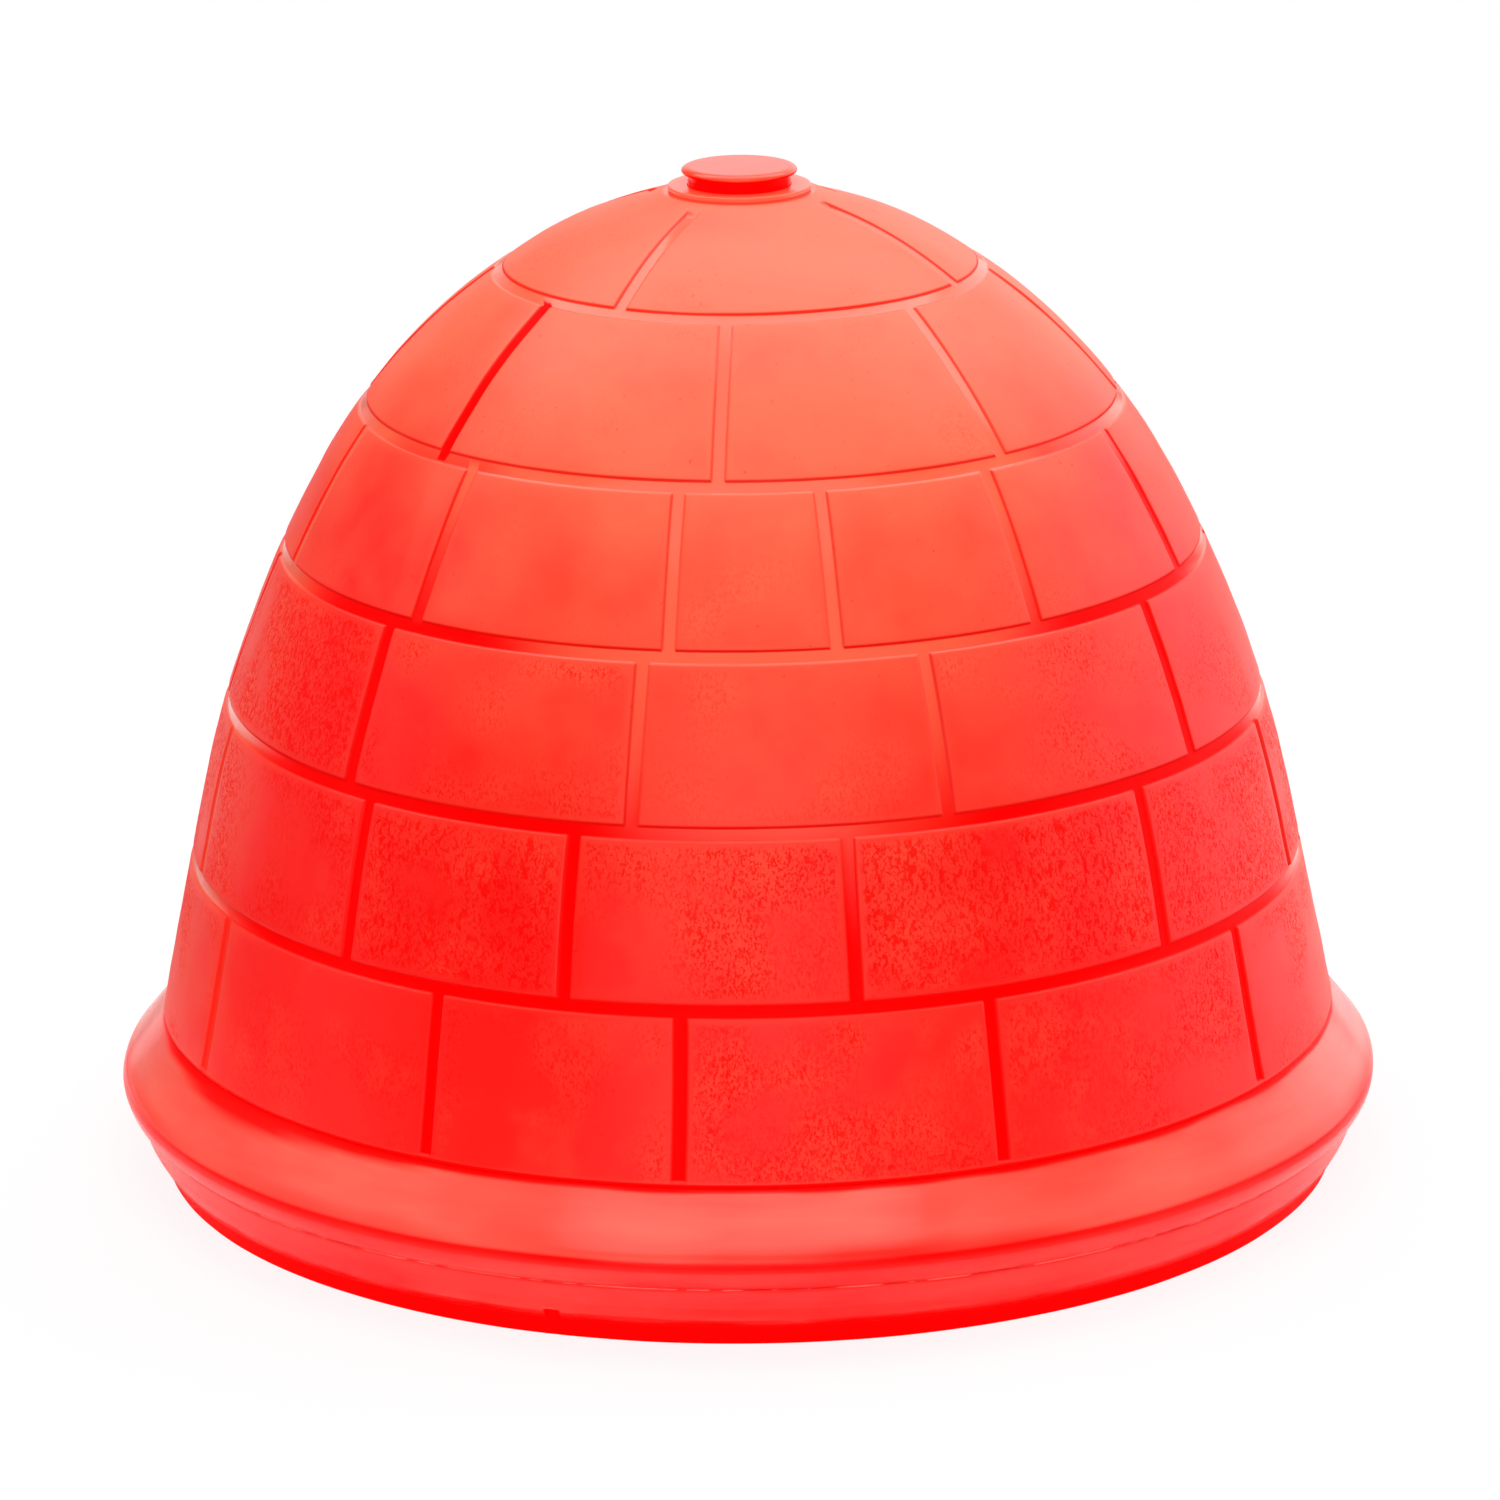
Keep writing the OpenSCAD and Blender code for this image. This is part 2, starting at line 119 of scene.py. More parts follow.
def slope(s, depth):
    """Radius and height at arc length s below the apex, depth inside the outer curve: a circle
    of each arc's centre and radius less depth, at the angle s has turned through, then a line."""
    s, depth = np.broadcast_arrays(np.asarray(s, float), np.asarray(depth, float))
    starts = (0.0,) + tuple(ARC_LEN[:2])
    angles = (0.0,) + ARC_END[:2]
    r, z = np.empty(s.shape), np.empty(s.shape)
    for n in range(len(ARC_R)):
        on = s >= starts[n]
        turn = angles[n] + (s - starts[n]) / ARC_R[n]
        r = np.where(on, CENTRES[n][0] + (ARC_R[n] - depth) * np.sin(turn), r)
        z = np.where(on, CENTRES[n][1] + (ARC_R[n] - depth) * np.cos(turn), z)
    a = ARC_END[2]
    run = s - ARC_LEN[2]
    r = np.where(run > 0, SKIRT_TOP[0] + run * math.cos(a) - depth * math.sin(a), r)
    z = np.where(run > 0, SKIRT_TOP[1] - run * math.sin(a) - depth * math.cos(a), z)
    return r, z


TABLE_S = np.linspace(0.0, FOOT_S + 20.0, 2000)


def s_at(z, depth):
    """Arc length at which the curve at that depth passes height z."""
    return np.interp(-np.asarray(z), -slope(TABLE_S, depth)[1], TABLE_S)


def crown_lift(s):
    """How far the straight slope from the seat's edge to the blend radius stands off the crown
    arc: a parabola in s that ends level at the blend."""
    edge, blend = crown_s(SEAT_R), crown_s(CROWN_BLEND_R)
    over = SEAT_Z - slope(edge, 0.0)[1]
    return over * np.clip((blend - s) / (blend - edge), 0.0, 1.0) ** 2


def swing(r, az, z):
    """Points at radius r, azimuth az in radians and height z."""
    r, az, z = np.broadcast_arrays(r, az, z)
    return np.stack([r * np.sin(az), -r * np.cos(az), z], axis=-1)


def all_round(count):
    """Azimuths of that many even steps of a full turn."""
    return np.linspace(-math.pi, math.pi, count, endpoint=False)


def azimuths(p):
    return np.arctan2(p[:, 0], -p[:, 1])


def waves(p, length, seed, count=7):
    """A smooth, repeatable wobble of about -1 to 1: a mean of sines that run in random
    directions with random phases and wavelengths near length."""
    rng = np.random.default_rng(seed)
    k = rng.normal(size=(count, 3))
    k /= np.linalg.norm(k, axis=1)[:, None] * length * rng.uniform(0.7, 1.4, count)[:, None]
    phase = rng.uniform(0, 2 * math.pi, count)
    return np.sin(2 * math.pi * p @ k.T + phase).sum(axis=-1) / math.sqrt(count) / 1.2


def arch_n(x, z):
    """Distance outside the doorway's clear outline: from the jamb lines below the spring, and
    from the round head above it."""
    return np.hypot(x, np.maximum(z - SPRING_Z, 0.0)) - HALF_DOOR


def door_distance(at_back, x, z):
    """Distance outside the doorway's clear outline, which only the back of the house has."""
    return np.where(at_back, arch_n(x, z), NO_DOOR)


def arch_point(u, n):
    """x and z on the outline n outside the clear one. u is the way along the clear outline from
    the spring at -X: below zero down that jamb, then half a turn over the head, and on down the
    other jamb."""
    turn = np.clip(u / HALF_DOOR, 0.0, math.pi)
    x = -(HALF_DOOR + n) * np.cos(turn)
    z = (SPRING_Z + (HALF_DOOR + n) * np.sin(turn) + np.minimum(u, 0)
         - np.maximum(u - HALF_DOOR * math.pi, 0))
    return x, z


def to_arch(x, z, n):
    """Points moved onto the outline n outside the clear one: level below the spring, and along
    the head's radius above it."""
    up = np.maximum(z - SPRING_Z, 0.0)
    grow = (HALF_DOOR + n) / np.maximum(np.hypot(x, up), 1.0)
    side = np.where(x >= 0, 1.0, -1.0)
    return (np.where(up > 0, x * grow, side * (HALF_DOOR + n)),
            np.where(up > 0, SPRING_Z + up * grow, z))


# ---------------------------------------------------------------- mesh building

# What a material reads from a mesh: how far inside its block a point lies (below zero: how much
# painted shade in deep red it gets), how strongly it is pitted (below zero: it is part of the
# flange), how far it stands out of the grooves, how deep it lies in a crease, which is painted as
# shade (below zero: how light an edge is painted, as a highlight), and how far the surface faces
# the sky, which paints it paler (NaN: as its normal does).
MARKS = ("inset", "tone", "block", "crease", "lift")
INSET, TONE, LIFT = (MARKS.index(name) for name in ("inset", "tone", "lift"))
PLAIN = (0.0, 0.0, 0.0, 0.0, math.nan)

DIAGONAL_EXTRA = 100.0      # added to a diagonal's length, so that a real edge is taken first
BEYOND_MOST = 60.0          # a distance beyond an outline counts as no more than this
MOST_ROUNDING = 0.42        # the largest share of a short edge that a rounded corner takes


class Skin:
    """Gathers grids of points into one mesh. Rows run down and columns turn with the azimuth, so
    that faces look outward; flip turns them inward."""

    def __init__(self):
        self.points, self.quads, self.tris, self.marks = [], [], [], []
        self.count = 0

    def add(self, points, mark=None):
        """Keeps the points and returns their numbers in the same grid."""
        points = np.asarray(points, float)
        flat = points.reshape(-1, 3)
        ids = np.arange(self.count, self.count + len(flat)).reshape(points.shape[:-1])
        self.points.append(flat)
        fill = np.array(PLAIN * len(flat)) if mark is None else np.asarray(mark)
        fill = fill.reshape(-1, len(PLAIN))
        self.marks.append(fill)
        self.count += len(flat)
        return ids

    def weave(self, ids, around=False, down=False, flip=False):
        """Quads between the neighbours of a grid of numbers."""
        if around:
            ids = np.concatenate([ids, ids[:, :1]], axis=1)
        if down:
            ids = np.concatenate([ids, ids[:1]], axis=0)
        q = np.stack([ids[:-1, :-1], ids[1:, :-1], ids[1:, 1:], ids[:-1, 1:]], axis=-1)
        q = q.reshape(-1, 4)
        self.quads.append(q[:, ::-1] if flip else q)

    def zip(self, upper, upper_az, lower, lower_az):
        """Triangles between two closed rings with different columns: walking round both, each
        step ahead on one ring makes a triangle with the other ring's latest point."""
        def unrolled(ids, az):
            az = np.mod(az, 2 * math.pi)
            order = np.argsort(az)
            return (np.append(ids[order], ids[order[0]]),
                    np.append(az[order], az[order[0]] + 2 * math.pi))
        a, ta = unrolled(upper, upper_az)
        b, tb = unrolled(lower, lower_az)
        j = np.searchsorted(tb[1:], ta[1:], side="left")
        i = np.searchsorted(ta[1:], tb[1:], side="right")
        self.tris.append(np.concatenate([np.stack([a[:-1], b[j], a[1:]], axis=1),
                                         np.stack([a[i], b[:-1], b[1:]], axis=1)]))

    def cap(self, ring, flip=False):
        """A fan that closes a ring of numbers from its middle."""
        ring = np.asarray(ring)
        middle = np.concatenate(self.points)[ring].mean(axis=0)
        hub = self.add(middle[None])[0]
        nxt = np.roll(ring, -1)
        t = np.stack([np.full(len(ring), hub), ring, nxt], axis=1)
        self.tris.append(t[:, ::-1] if flip else t)

    def arrays(self):
        def stacked(parts, n):
            return np.concatenate(parts) if parts else np.zeros((0, n), int)
        return (np.concatenate(self.points), stacked(self.quads, 4), stacked(self.tris, 3),
                np.concatenate(self.marks))

    def cut(self, beyond, place):
        """Takes away the faces that lie wholly inside an outline, which is where beyond is below
        zero. On the border each inner point slides along an edge to where that edge crosses the
        outline, and place then puts it there exactly and gives its marks."""
        p, q, t, m = self.arrays()
        inside = beyond < 0
        edges = [(q, 0, 2, DIAGONAL_EXTRA), (q, 1, 3, DIAGONAL_EXTRA)]
        edges += [(q, n, (n + 1) % 4, 0.0) for n in range(4)]
        edges += [(t, n, (n + 1) % 3, 0.0) for n in range(3)]
        pairs = []
        for faces, i, j, extra in edges:
            found = np.concatenate([faces[:, [i, j]], faces[:, [j, i]]])
            found = found[inside[found[:, 0]] & ~inside[found[:, 1]]]
            length = np.linalg.norm(p[found[:, 0]] - p[found[:, 1]], axis=1) + extra
            pairs.append(np.column_stack([found, np.round(length * 1000).astype(int)]))
        pairs = np.concatenate(pairs)
        # The shortest edge comes last, so that it is the one that counts.
        pairs = pairs[np.argsort(-pairs[:, 2], kind="stable")]
        a, b = pairs[:, 0], pairs[:, 1]
        share = (beyond[a] / (beyond[a] - np.minimum(beyond[b], BEYOND_MOST)))[:, None]
        slid = p.copy()
        slid[a] = p[a] + (p[b] - p[a]) * share
        p = slid
        q, t = q[~inside[q].all(axis=1)], t[~inside[t].all(axis=1)]
        used = np.zeros(len(p), bool)
        used[q.ravel()] = True
        used[t.ravel()] = True
        move = used & inside
        p[move], m[move] = place(p[move], m[move])
        self.points, self.quads, self.tris, self.marks = [p], [q], [t], [m]

    def join(self, other):
        """Takes in the mesh of another skin."""
        p, q, t, m = other.arrays()
        self.quads.append(q + self.count)
        self.tris.append(t + self.count)
        self.points.append(p)
        self.marks.append(m)
        self.count += len(p)

    def build(self, name):
        """Makes the object from the points that its faces use, with the marks as attributes."""
        p, q, t, m = self.arrays()
        used = np.unique(np.concatenate([q.ravel(), t.ravel()]))
        renumber = np.zeros(len(p), int)
        renumber[used] = np.arange(len(used))
        p, m, q, t = p[used] * MM, m[used], renumber[q], renumber[t]
        mesh = bpy.data.meshes.new(name)
        mesh.vertices.add(len(p))
        mesh.vertices.foreach_set("co", p.ravel())
        corners = np.concatenate([q.ravel(), t.ravel()])
        mesh.loops.add(len(corners))
        mesh.loops.foreach_set("vertex_index", corners)
        starts = np.concatenate([np.arange(len(q)) * 4, 4 * len(q) + np.arange(len(t)) * 3])
        mesh.polygons.add(len(starts))
        mesh.polygons.foreach_set("loop_start", starts)
        mesh.polygons.foreach_set("use_smooth", np.ones(len(starts), bool))
        mesh.update(calc_edges=True)
        mesh.validate()
        normals = np.empty(3 * len(p))
        mesh.vertices.foreach_get("normal", normals)
        m[:, LIFT] = np.where(np.isnan(m[:, LIFT]), normals[2::3], m[:, LIFT])
        for column, label in enumerate(MARKS):
            kept = mesh.attributes.new(label, "FLOAT", "POINT")
            kept.data.foreach_set("value", np.ascontiguousarray(m[:, column]))
        made = bpy.data.objects.new(name, mesh)
        bpy.context.scene.collection.objects.link(made)
        return made


def eased(corners, reach, steps=4, closed=True):
    """A polygon with each corner replaced by a small curve: a parabola between the points at
    that reach along both edges, or less where an edge is short."""
    p = np.asarray(corners, float)
    before, after = np.roll(p, 1, axis=0) - p, np.roll(p, -1, axis=0) - p
    la, lb = np.linalg.norm(before, axis=1), np.linalg.norm(after, axis=1)
    reach = np.broadcast_to(reach, len(p))
    q = np.minimum(reach, MOST_ROUNDING * np.minimum(la, lb))[:, None, None]
    t = np.linspace(0, 1, steps)[None, :, None]
    bend = (1 - t) ** 2 * (before / la[:, None])[:, None] + t ** 2 * (after / lb[:, None])[:, None]
    out = p[:, None] + q * bend
    if not closed:
        return np.concatenate([p[:1], out[1:-1].reshape(-1, 2), p[-1:]])
    return out.reshape(-1, 2)


def turned(radius_z, columns, skin, closed=True, mark=PLAIN):
    """Revolves a profile in a number of even steps."""
    az = all_round(columns)
    p = swing(radius_z[:, None, 0], az[None], radius_z[:, None, 1])
    ids = skin.add(p, np.broadcast_to(mark, p.shape[:-1] + (len(MARKS),)))
    skin.weave(ids, around=True, down=closed)
    return ids, az


# ---------------------------------------------------------------- dome: courses of blocks

# Points across a block's edge, into the block; how far the edge has risen at each; and how dark
# the painted shade in the crease along it is at each.
EDGE = np.array([-1.9, -1.0, 0.1, 0.9, 2.0])
EDGE_UP = np.array([0.0, 0.06, 0.80, 0.95, 1.0])
EDGE_CREASE = np.array([0.0, 1.0, 1.0, 0.3, 0.0])
# The same for the rounder edge at the foot of the last course, and the rows of points there.
FOOT_EDGE, FOOT_EDGE_UP = [0.0, 0.25, 0.9, 2.2], [0.0, 0.62, 0.92, 1.0]
FOOT_ROWS = np.array([9.0, 6.9, 6.0, 4.9, 4.1, 3.0, 2.2, 1.4, 0.25, 0.0])
CLOSING = 5.0               # height of the strip that closes the last course's grooves below
# In each course: how dark the creases' painted shade is, how deep the grooves look, how far up the
# upright grooves on the left look turned, which paints them lighter or, below zero, darker, and how
# strongly the blocks are pitted.
CREASES = (0.85, 0.9, 1.0, 1.0, 0.6, 0.5)
DEPTHS = (1.8, 1.8, 2.0, 2.4, 2.8, 2.8)
GROOVE_LIFT = (0.0, -0.4, 0.1, 0.0, 0.0, 0.0)
PITTING = (0.12, 0.16, 0.3, 0.65, 1.2, 0.85)
# Blocks of the front that are pitted more or less than chance has it: course, number, how much.
ROUGH = ((2, 3, 1.3), (2, 4, 0.2), (2, 5, 0.0), (2, 6, 0.2),
         (3, 3, 1.9), (3, 4, 0.9), (3, 5, 0.0), (3, 6, 0.7),
         (4, 3, 0.6), (4, 4, 1.0), (4, 5, 0.2), (4, 6, 1.3), (4, 7, 0.5),
         (5, 4, 0.2), (5, 5, 0.5), (5, 6, 0.9), (5, 7, 1.1))
FILL = 12.0                 # widest step between points on a block's face
RECESS = EDGE_W + GROOVE
BAND_END = RECESS + 12.0    # where the band of points along the arch gives way to the courses
CALM = 30.0                 # beyond it, the way over which unevenness sets in
DEEPER = 40.0               # and the way over which the grooves lose their full depth


def rise(t):
    return np.interp(t, EDGE, EDGE_UP)


def crease_at(t):
    return np.interp(t, EDGE, EDGE_CREASE)


def course_span(k):
    """Arc lengths at which course k begins and ends."""
    top = crown_s(SEAT_R) if k == 0 else RING_S[k - 1] + GROOVE / 2
    end = FOOT_S if k == LAST else RING_S[k] - GROOVE / 2
    return top, end


def joint_distance(k, az, r):
    """Distance from the nearest upright groove's edge, into the block, and whether the block is
    the one that the azimuth meets after the groove."""
    joints = np.radians(JOINTS[k])
    off = np.angle(np.exp(1j * (az[..., None] - joints)))
    nearest = np.take_along_axis(off, np.abs(off).argmin(axis=-1)[..., None], axis=-1)[..., 0]
    return np.abs(nearest) * r - GROOVE / 2, nearest > 0


def block_tone(k, az):
    """How pitted each block is: a random number, or else what ROUGH gives it. The joints below
    the azimuth number the blocks."""
    rng = np.random.default_rng(40 + k)
    values = rng.uniform(0, 1, len(JOINTS[k]))
    for course, number, rough in ROUGH:
        if course == k:
            values[number] = rough
    number = np.searchsorted(np.radians(JOINTS[k]), np.mod(az + math.pi, 2 * math.pi) - math.pi)
    return values[number % len(values)]


def face_height(k, s, az, door_n):
    """How far a point of course k stands out, 0 to 1; how far inside its block it lies; how dark
    its crease's painted shade is, or below zero how light its edge's painted highlight; and how far
    up it looks turned, which paints it lighter or darker."""
    top, end = course_span(k)
    r = slope(s, 0.0)[0]
    across, after = joint_distance(k, az, r)
    head = s - top
    if k == 0:
        # The crown's grooves fade out short of the seat, and a short ring joins them behind it.
        across = np.maximum(across, (CROWN_FADE_R - r) / 2.0)
        ring = np.maximum(CROWN_GROOVE_R - GROOVE - r, r - CROWN_GROOVE_R)
        head = np.maximum(ring, BACK_GROOVE_Y + r * np.cos(az))
    closing = rise(s - (end - CLOSING)) if k == LAST else 0.0
    foot = np.interp(end - s, FOOT_EDGE, FOOT_EDGE_UP) if k == LAST else rise(end - s)
    up = np.maximum(rise(across), closing) * foot * rise(head) * rise(door_n - RECESS)
    inset = np.minimum.reduce([across, head, end - s, door_n - RECESS])
    # The crease's painted shade is darkest under a block and along the sides that face the front; the
    # edge along a block's head gets a painted highlight, which counts below zero, and so does the one
    # at the foot.
    front = np.sin(az) * (0.7 if k == 0 else 0.5)
    side = crease_at(across) * np.clip(np.where(after, 0.35 + 0.05 * k + front,
                                                0.45 - front), 0.0, 1.0)
    side = side * rise(head) * rise(end - s)
    under = crease_at(end - s) * np.clip(across + 1.0, 0.0, 1.0) if k < LAST else 0.0
    crease = np.maximum(np.maximum(side, under), 4.0 * closing * (1.0 - closing)) * CREASES[k]
    light = crease_at(head - 0.5) * np.clip(across, 0.0, 1.0) * (k > 0)
    inset = np.clip(inset, 0.0, 30.0)
    # At the last course's foot: a painted highlight along the edge, and below it a band of painted
    # shade in deep red, as inset below zero.
    if k == LAST:
        light = np.maximum(light, np.interp(end - s, [3.0, 4.1, 4.9, 6.0], [0.0, 0.5, 0.5, 0.0]))
        inset = np.where(end - s < 3.9, -np.interp(end - s, [2.2, 3.9], [1.0, 0.0]), inset)
    # Painted light or shade in the upright grooves on the left of the front: their lift is raised or
    # lowered by GROOVE_LIFT.
    left = np.clip(-3.0 * np.sin(az), 0.0, 1.0) * np.clip(3.0 * np.cos(az), 0.0, 1.0)
    turn_up = GROOVE_LIFT[k] * np.clip(-across, 0.0, 1.0) * left
    return up, inset, np.where(light > crease, -light, crease), turn_up


def behind(az):
    """Whether an azimuth is on the half with the doorway."""
    return np.cos(az) < 0


def dome_point(k, s, az):
    """A point of course k with its relief and the mould's small unevenness, and its marks."""
    r, z = slope(s, RELIEF)
    door_n = door_distance(behind(az), r * np.sin(az), z)
    up, inset, crease, turn_up = face_height(k, s, az, door_n)
    rough = swing(r, az, z)
    face = 0.45 * waves(rough, 95.0, 3) + 0.25 * waves(rough, 42.0, 4)
    quiet = np.clip((door_n - BAND_END) / CALM, 0.0, 1.0)
    tone = block_tone(k, az)
    uneven = quiet * up * (face - 0.45 + 0.5 * (tone.clip(0, 1) - 0.5)) * 0.8
    if k == 0:
        uneven = uneven * np.clip((s - crown_s(SEAT_R)) / 30.0, 0.0, 1.0)
    full = np.clip((BAND_END + DEEPER - door_n) / DEEPER, 0.0, 1.0)
    depth = DEPTHS[k] + (RELIEF - DEPTHS[k]) * full
    height = np.minimum(RELIEF - depth * (1.0 - up) + uneven, RELIEF)
    if k == 0:
        height = height + up * crown_lift(s)
    r, z = slope(s, RELIEF - height)
    strength = PITTING[k] * (0.5 + 0.8 * tone)
    turn = np.interp(s, (0.0,) + tuple(ARC_LEN), (0.0,) + ARC_END)
    return swing(r, az, z), np.stack(
        np.broadcast_arrays(inset, strength, up, crease, np.cos(turn) + turn_up), axis=-1)


def stagger(s, az):
    """The azimuths shifted by a slow wobble that depends on where the point is, which gives the
    grooves their uneven run."""
    r, z = slope(s, RELIEF)
    return az + 0.8 * waves(swing(r, az, z), 170.0, 12) / r


dome = Skin()

# The crown: the throat's edge and the flat seat round it.
crown_profile = eased([[THROAT_R, SEAT_Z - WALL], [THROAT_R, SEAT_Z], [SEAT_R - 2.5, SEAT_Z]],
                      [0, 1.0, 0], closed=False)
crown_ids, crown_az = turned(crown_profile, 160, dome, closed=False)

last_ids, last_az = crown_ids[-1], crown_az
for k in range(len(JOINTS)):
    top, end = course_span(k)
    joints = np.radians(JOINTS[k])
    ahead = np.roll(joints, -1)
    ahead[-1] += 2 * math.pi
    widest = slope(end, 0.0)[0]
    sides = GROOVE / 2 + EDGE
    centres, offsets = [], []
    for here, there in zip(joints, ahead):
        count = int(math.ceil(((there - here) * widest - 2 * sides[-1]) / FILL)) + 1
        t = np.linspace(0, 1, count)[1:-1]
        centres.append(np.concatenate([np.full(2 * len(sides), here),
                                       here + (there - here) * t]))
        offsets.append(np.concatenate([-sides[::-1], sides, sides[-1] - 2 * sides[-1] * t]))
    centre, offset = np.concatenate(centres), np.concatenate(offsets)
    bottom = end - (FOOT_ROWS if k == LAST else EDGE[::-1])
    fill = np.linspace(top + EDGE[-1], bottom[0],
                       int(math.ceil((bottom[0] - top - EDGE[-1]) / FILL)) + 1)[1:-1]
    rows = np.concatenate([top + EDGE, fill, bottom])
    if k == 0:
        ring_in, ring_out = crown_s(CROWN_GROOVE_R - GROOVE), crown_s(CROWN_GROOVE_R)
        rows = np.concatenate([[top, top + 3.0], ring_in - EDGE[::-1], [ring_in + GROOVE / 2],
                               ring_out + EDGE, fill[fill > ring_out + 6.0], bottom])
    s = np.broadcast_to(rows[:, None], (len(rows), len(centre)))
    az = centre[None] + offset[None] / slope(rows, 0.0)[0][:, None]
    points, marks = dome_point(k, s, az)
    # The grooves wander a little, so the whole sheet is shifted within itself.
    out = np.hypot(points[..., 0], points[..., 1])
    moved = swing(out, stagger(s, az), points[..., 2])
    near_door = door_distance(behind(az), points[..., 0], points[..., 2])
    hold = np.clip((near_door - BAND_END) / CALM, 0.0, 1.0)[..., None]
    points = points + (moved - points) * hold
    ids = dome.add(points, marks)
    dome.weave(ids, around=True)
    dome.zip(last_ids, last_az, ids[0], azimuths(points[0]))
    last_ids, last_az = ids[-1], azimuths(points[-1])


def block_skin(x, z):
    """The dome's outer face over a point x, z of the back, blocks and grooves included."""
    s = s_at(z, RELIEF)
    r = slope(s, RELIEF)[0]
    off = np.arcsin(np.clip(x / r, -1, 1))
    az = np.where(x >= 0, math.pi - off, -math.pi - off)
    number = np.searchsorted(RING_S, s)
    out = np.zeros(x.shape + (3,))
    marks = np.zeros(x.shape + (len(MARKS),))
    for k in range(len(JOINTS)):
        here = number == k
        if here.any():
            out[here], marks[here] = dome_point(k, s[here], az[here])
    return out, marks


def onto_band(p, _):
    """Puts points of the courses onto the outline at which the band along the arch ends."""
    return block_skin(*to_arch(p[:, 0], p[:, 2], BAND_END))


p = np.concatenate(dome.points)
dome.cut(door_distance(p[:, 1] > 0, p[:, 0], p[:, 2]) - BAND_END, onto_band)

# The band round the doorway, along the arch, from inside the porch's wall to the blocks.
half_turn = HALF_DOOR * math.pi
leg = SPRING_Z - (FOOT_Z - 3.0)
BAND_STEPS = 420
UNDER = 0.0009              # share of its x and y by which the last row of points is sunk
u = np.linspace(-leg, half_turn + leg, BAND_STEPS)
v = np.concatenate([[PORCH_WALL / 2], np.linspace(PORCH_WALL + 1, RECESS - 3.0, 4),
                    RECESS + EDGE, np.linspace(RECESS + 5, BAND_END, 3), [BAND_END + 4.0]])
uu, vv = np.meshgrid(u, v, indexing="ij")
x, z = arch_point(uu, vv)
points, marks = block_skin(x, z)
# Its last row runs on just under the blocks, which closes the seam.
points[..., :2] *= 1.0 - UNDER * (vv > BAND_END)[..., None]
dome.weave(dome.add(points, marks))

# ---------------------------------------------------------------- dome: flange and inside

foot = np.array(slope(FOOT_S, RELIEF))
OUTER_R = slope(FOOT_S, 0.0)[0] + REACH
ROLL = np.array([OUTER_R - ROLL_R, SEAM_Z + ROLL_RISE])
reach = foot - ROLL
SLOPE_A = math.atan2(reach[1], reach[0]) - math.acos(ROLL_R / np.linalg.norm(reach))
SEAM_A = -math.asin(ROLL_RISE / ROLL_R)
SEAM_R = ROLL[0] + ROLL_R * math.cos(SEAM_A)
RIM_IN_R = SEAM_R - RIM_W
INNER = ROLL_R - WALL
RIM_A = -math.asin((ROLL_RISE - WALL) / INNER)


def arc(centre, radius, start, stop, count):
    a = np.linspace(start, stop, count)
    return centre + radius * np.stack([np.cos(a), np.sin(a)], axis=1)


roll_out = arc(ROLL, ROLL_R, SLOPE_A, SEAM_A, 22)
t = np.concatenate([[0.0, 0.04, 0.075, 0.105], np.linspace(0, 1, 9)[1:-1]])[:, None]
outer = np.concatenate([foot + (roll_out[0] - foot) * t, roll_out])
inner_foot = np.array(slope(FOOT_S - WALL, INSIDE))
roll_in = arc(ROLL, INNER, RIM_A, SLOPE_A, 10)
s_in = np.linspace(FOOT_S - 30.0, crown_s(SEAT_R + WALL), 46)
inside_up = np.stack(slope(s_in, INSIDE), axis=1)
inner = np.concatenate([
    [[RIM_IN_R, SEAM_Z], [RIM_IN_R, SEAM_Z + WALL]], roll_in, [inner_foot], inside_up,
    [[SEAT_R - 1.0, SEAT_Z - WALL], [THROAT_R, SEAT_Z - WALL]]])

flange = Skin()
COLUMNS = 360
az = all_round(COLUMNS)
p = swing(outer[:, None, 0], az[None], outer[:, None, 1])
fade = np.sin(np.linspace(0, math.pi, len(outer)))[:, None]
push = fade * (0.5 * waves(p, 300.0, 21) + 0.25 * waves(p, 110.0, 22) - 0.6)
p = swing(outer[:, None, 0] + push, az[None], outer[:, None, 1])
# Flash along the seam: a thin uneven lip before the last row, with painted light where it stands
# out and a touch of painted shade where it hardly does.
flash = np.clip(waves(p[-1], 60.0, 23) + waves(p[-1], 14.0, 24) + 0.7, 0.0, 1.8)
lip = np.stack([swing(SEAM_R + up * flash, az, SEAM_Z + z)
                for up, z in ((0.1, 2.3), (0.7, 1.7), (0.7, -0.4))])
rows = np.concatenate([p[:-1], lip, p[-1:]])
marks = np.broadcast_to(PLAIN, rows.shape[:-1] + (len(MARKS),)).copy()
marks[-3:-1, :, LIFT] = np.clip(flash * 1.6 - 0.5, -0.4, 0.95)
# Bands of painted shade, in which the flange is deep red, as a share below zero: along the dome's
# foot and round the roll, where it is uneven.
run = np.concatenate([[0.0], np.cumsum(np.linalg.norm(np.diff(outer, axis=0), axis=1))])
on_roll = np.interp(run - run[len(t)], [-12.0, -5.0, 0.0, 5.0, 10.0, 15.0, 20.0, 28.0],
                    [0.0, 0.25, 0.7, 1.0, 0.95, 0.5, 0.2, 0.0])[:, None]
on_roll = on_roll * np.clip(0.47 + 0.3 * waves(p, 420.0, 25) + 0.12 * waves(p, 130.0, 26),
                            0.2, 0.8)
wide = 1.0 + 3.0 * np.exp(-((az + 0.98) / 0.26) ** 2) + 0.15 * waves(p[0], 90.0, 27)
at_foot = np.interp(run[:, None] / wide, [0.0, 4.0, 6.5], [1.0, 0.95, 0.0])
marks[:len(p) - 1, :, INSET] = -np.maximum(on_roll, at_foot)[:-1]
marks[..., TONE] = -1.0
outer_ids = flange.add(rows, marks)
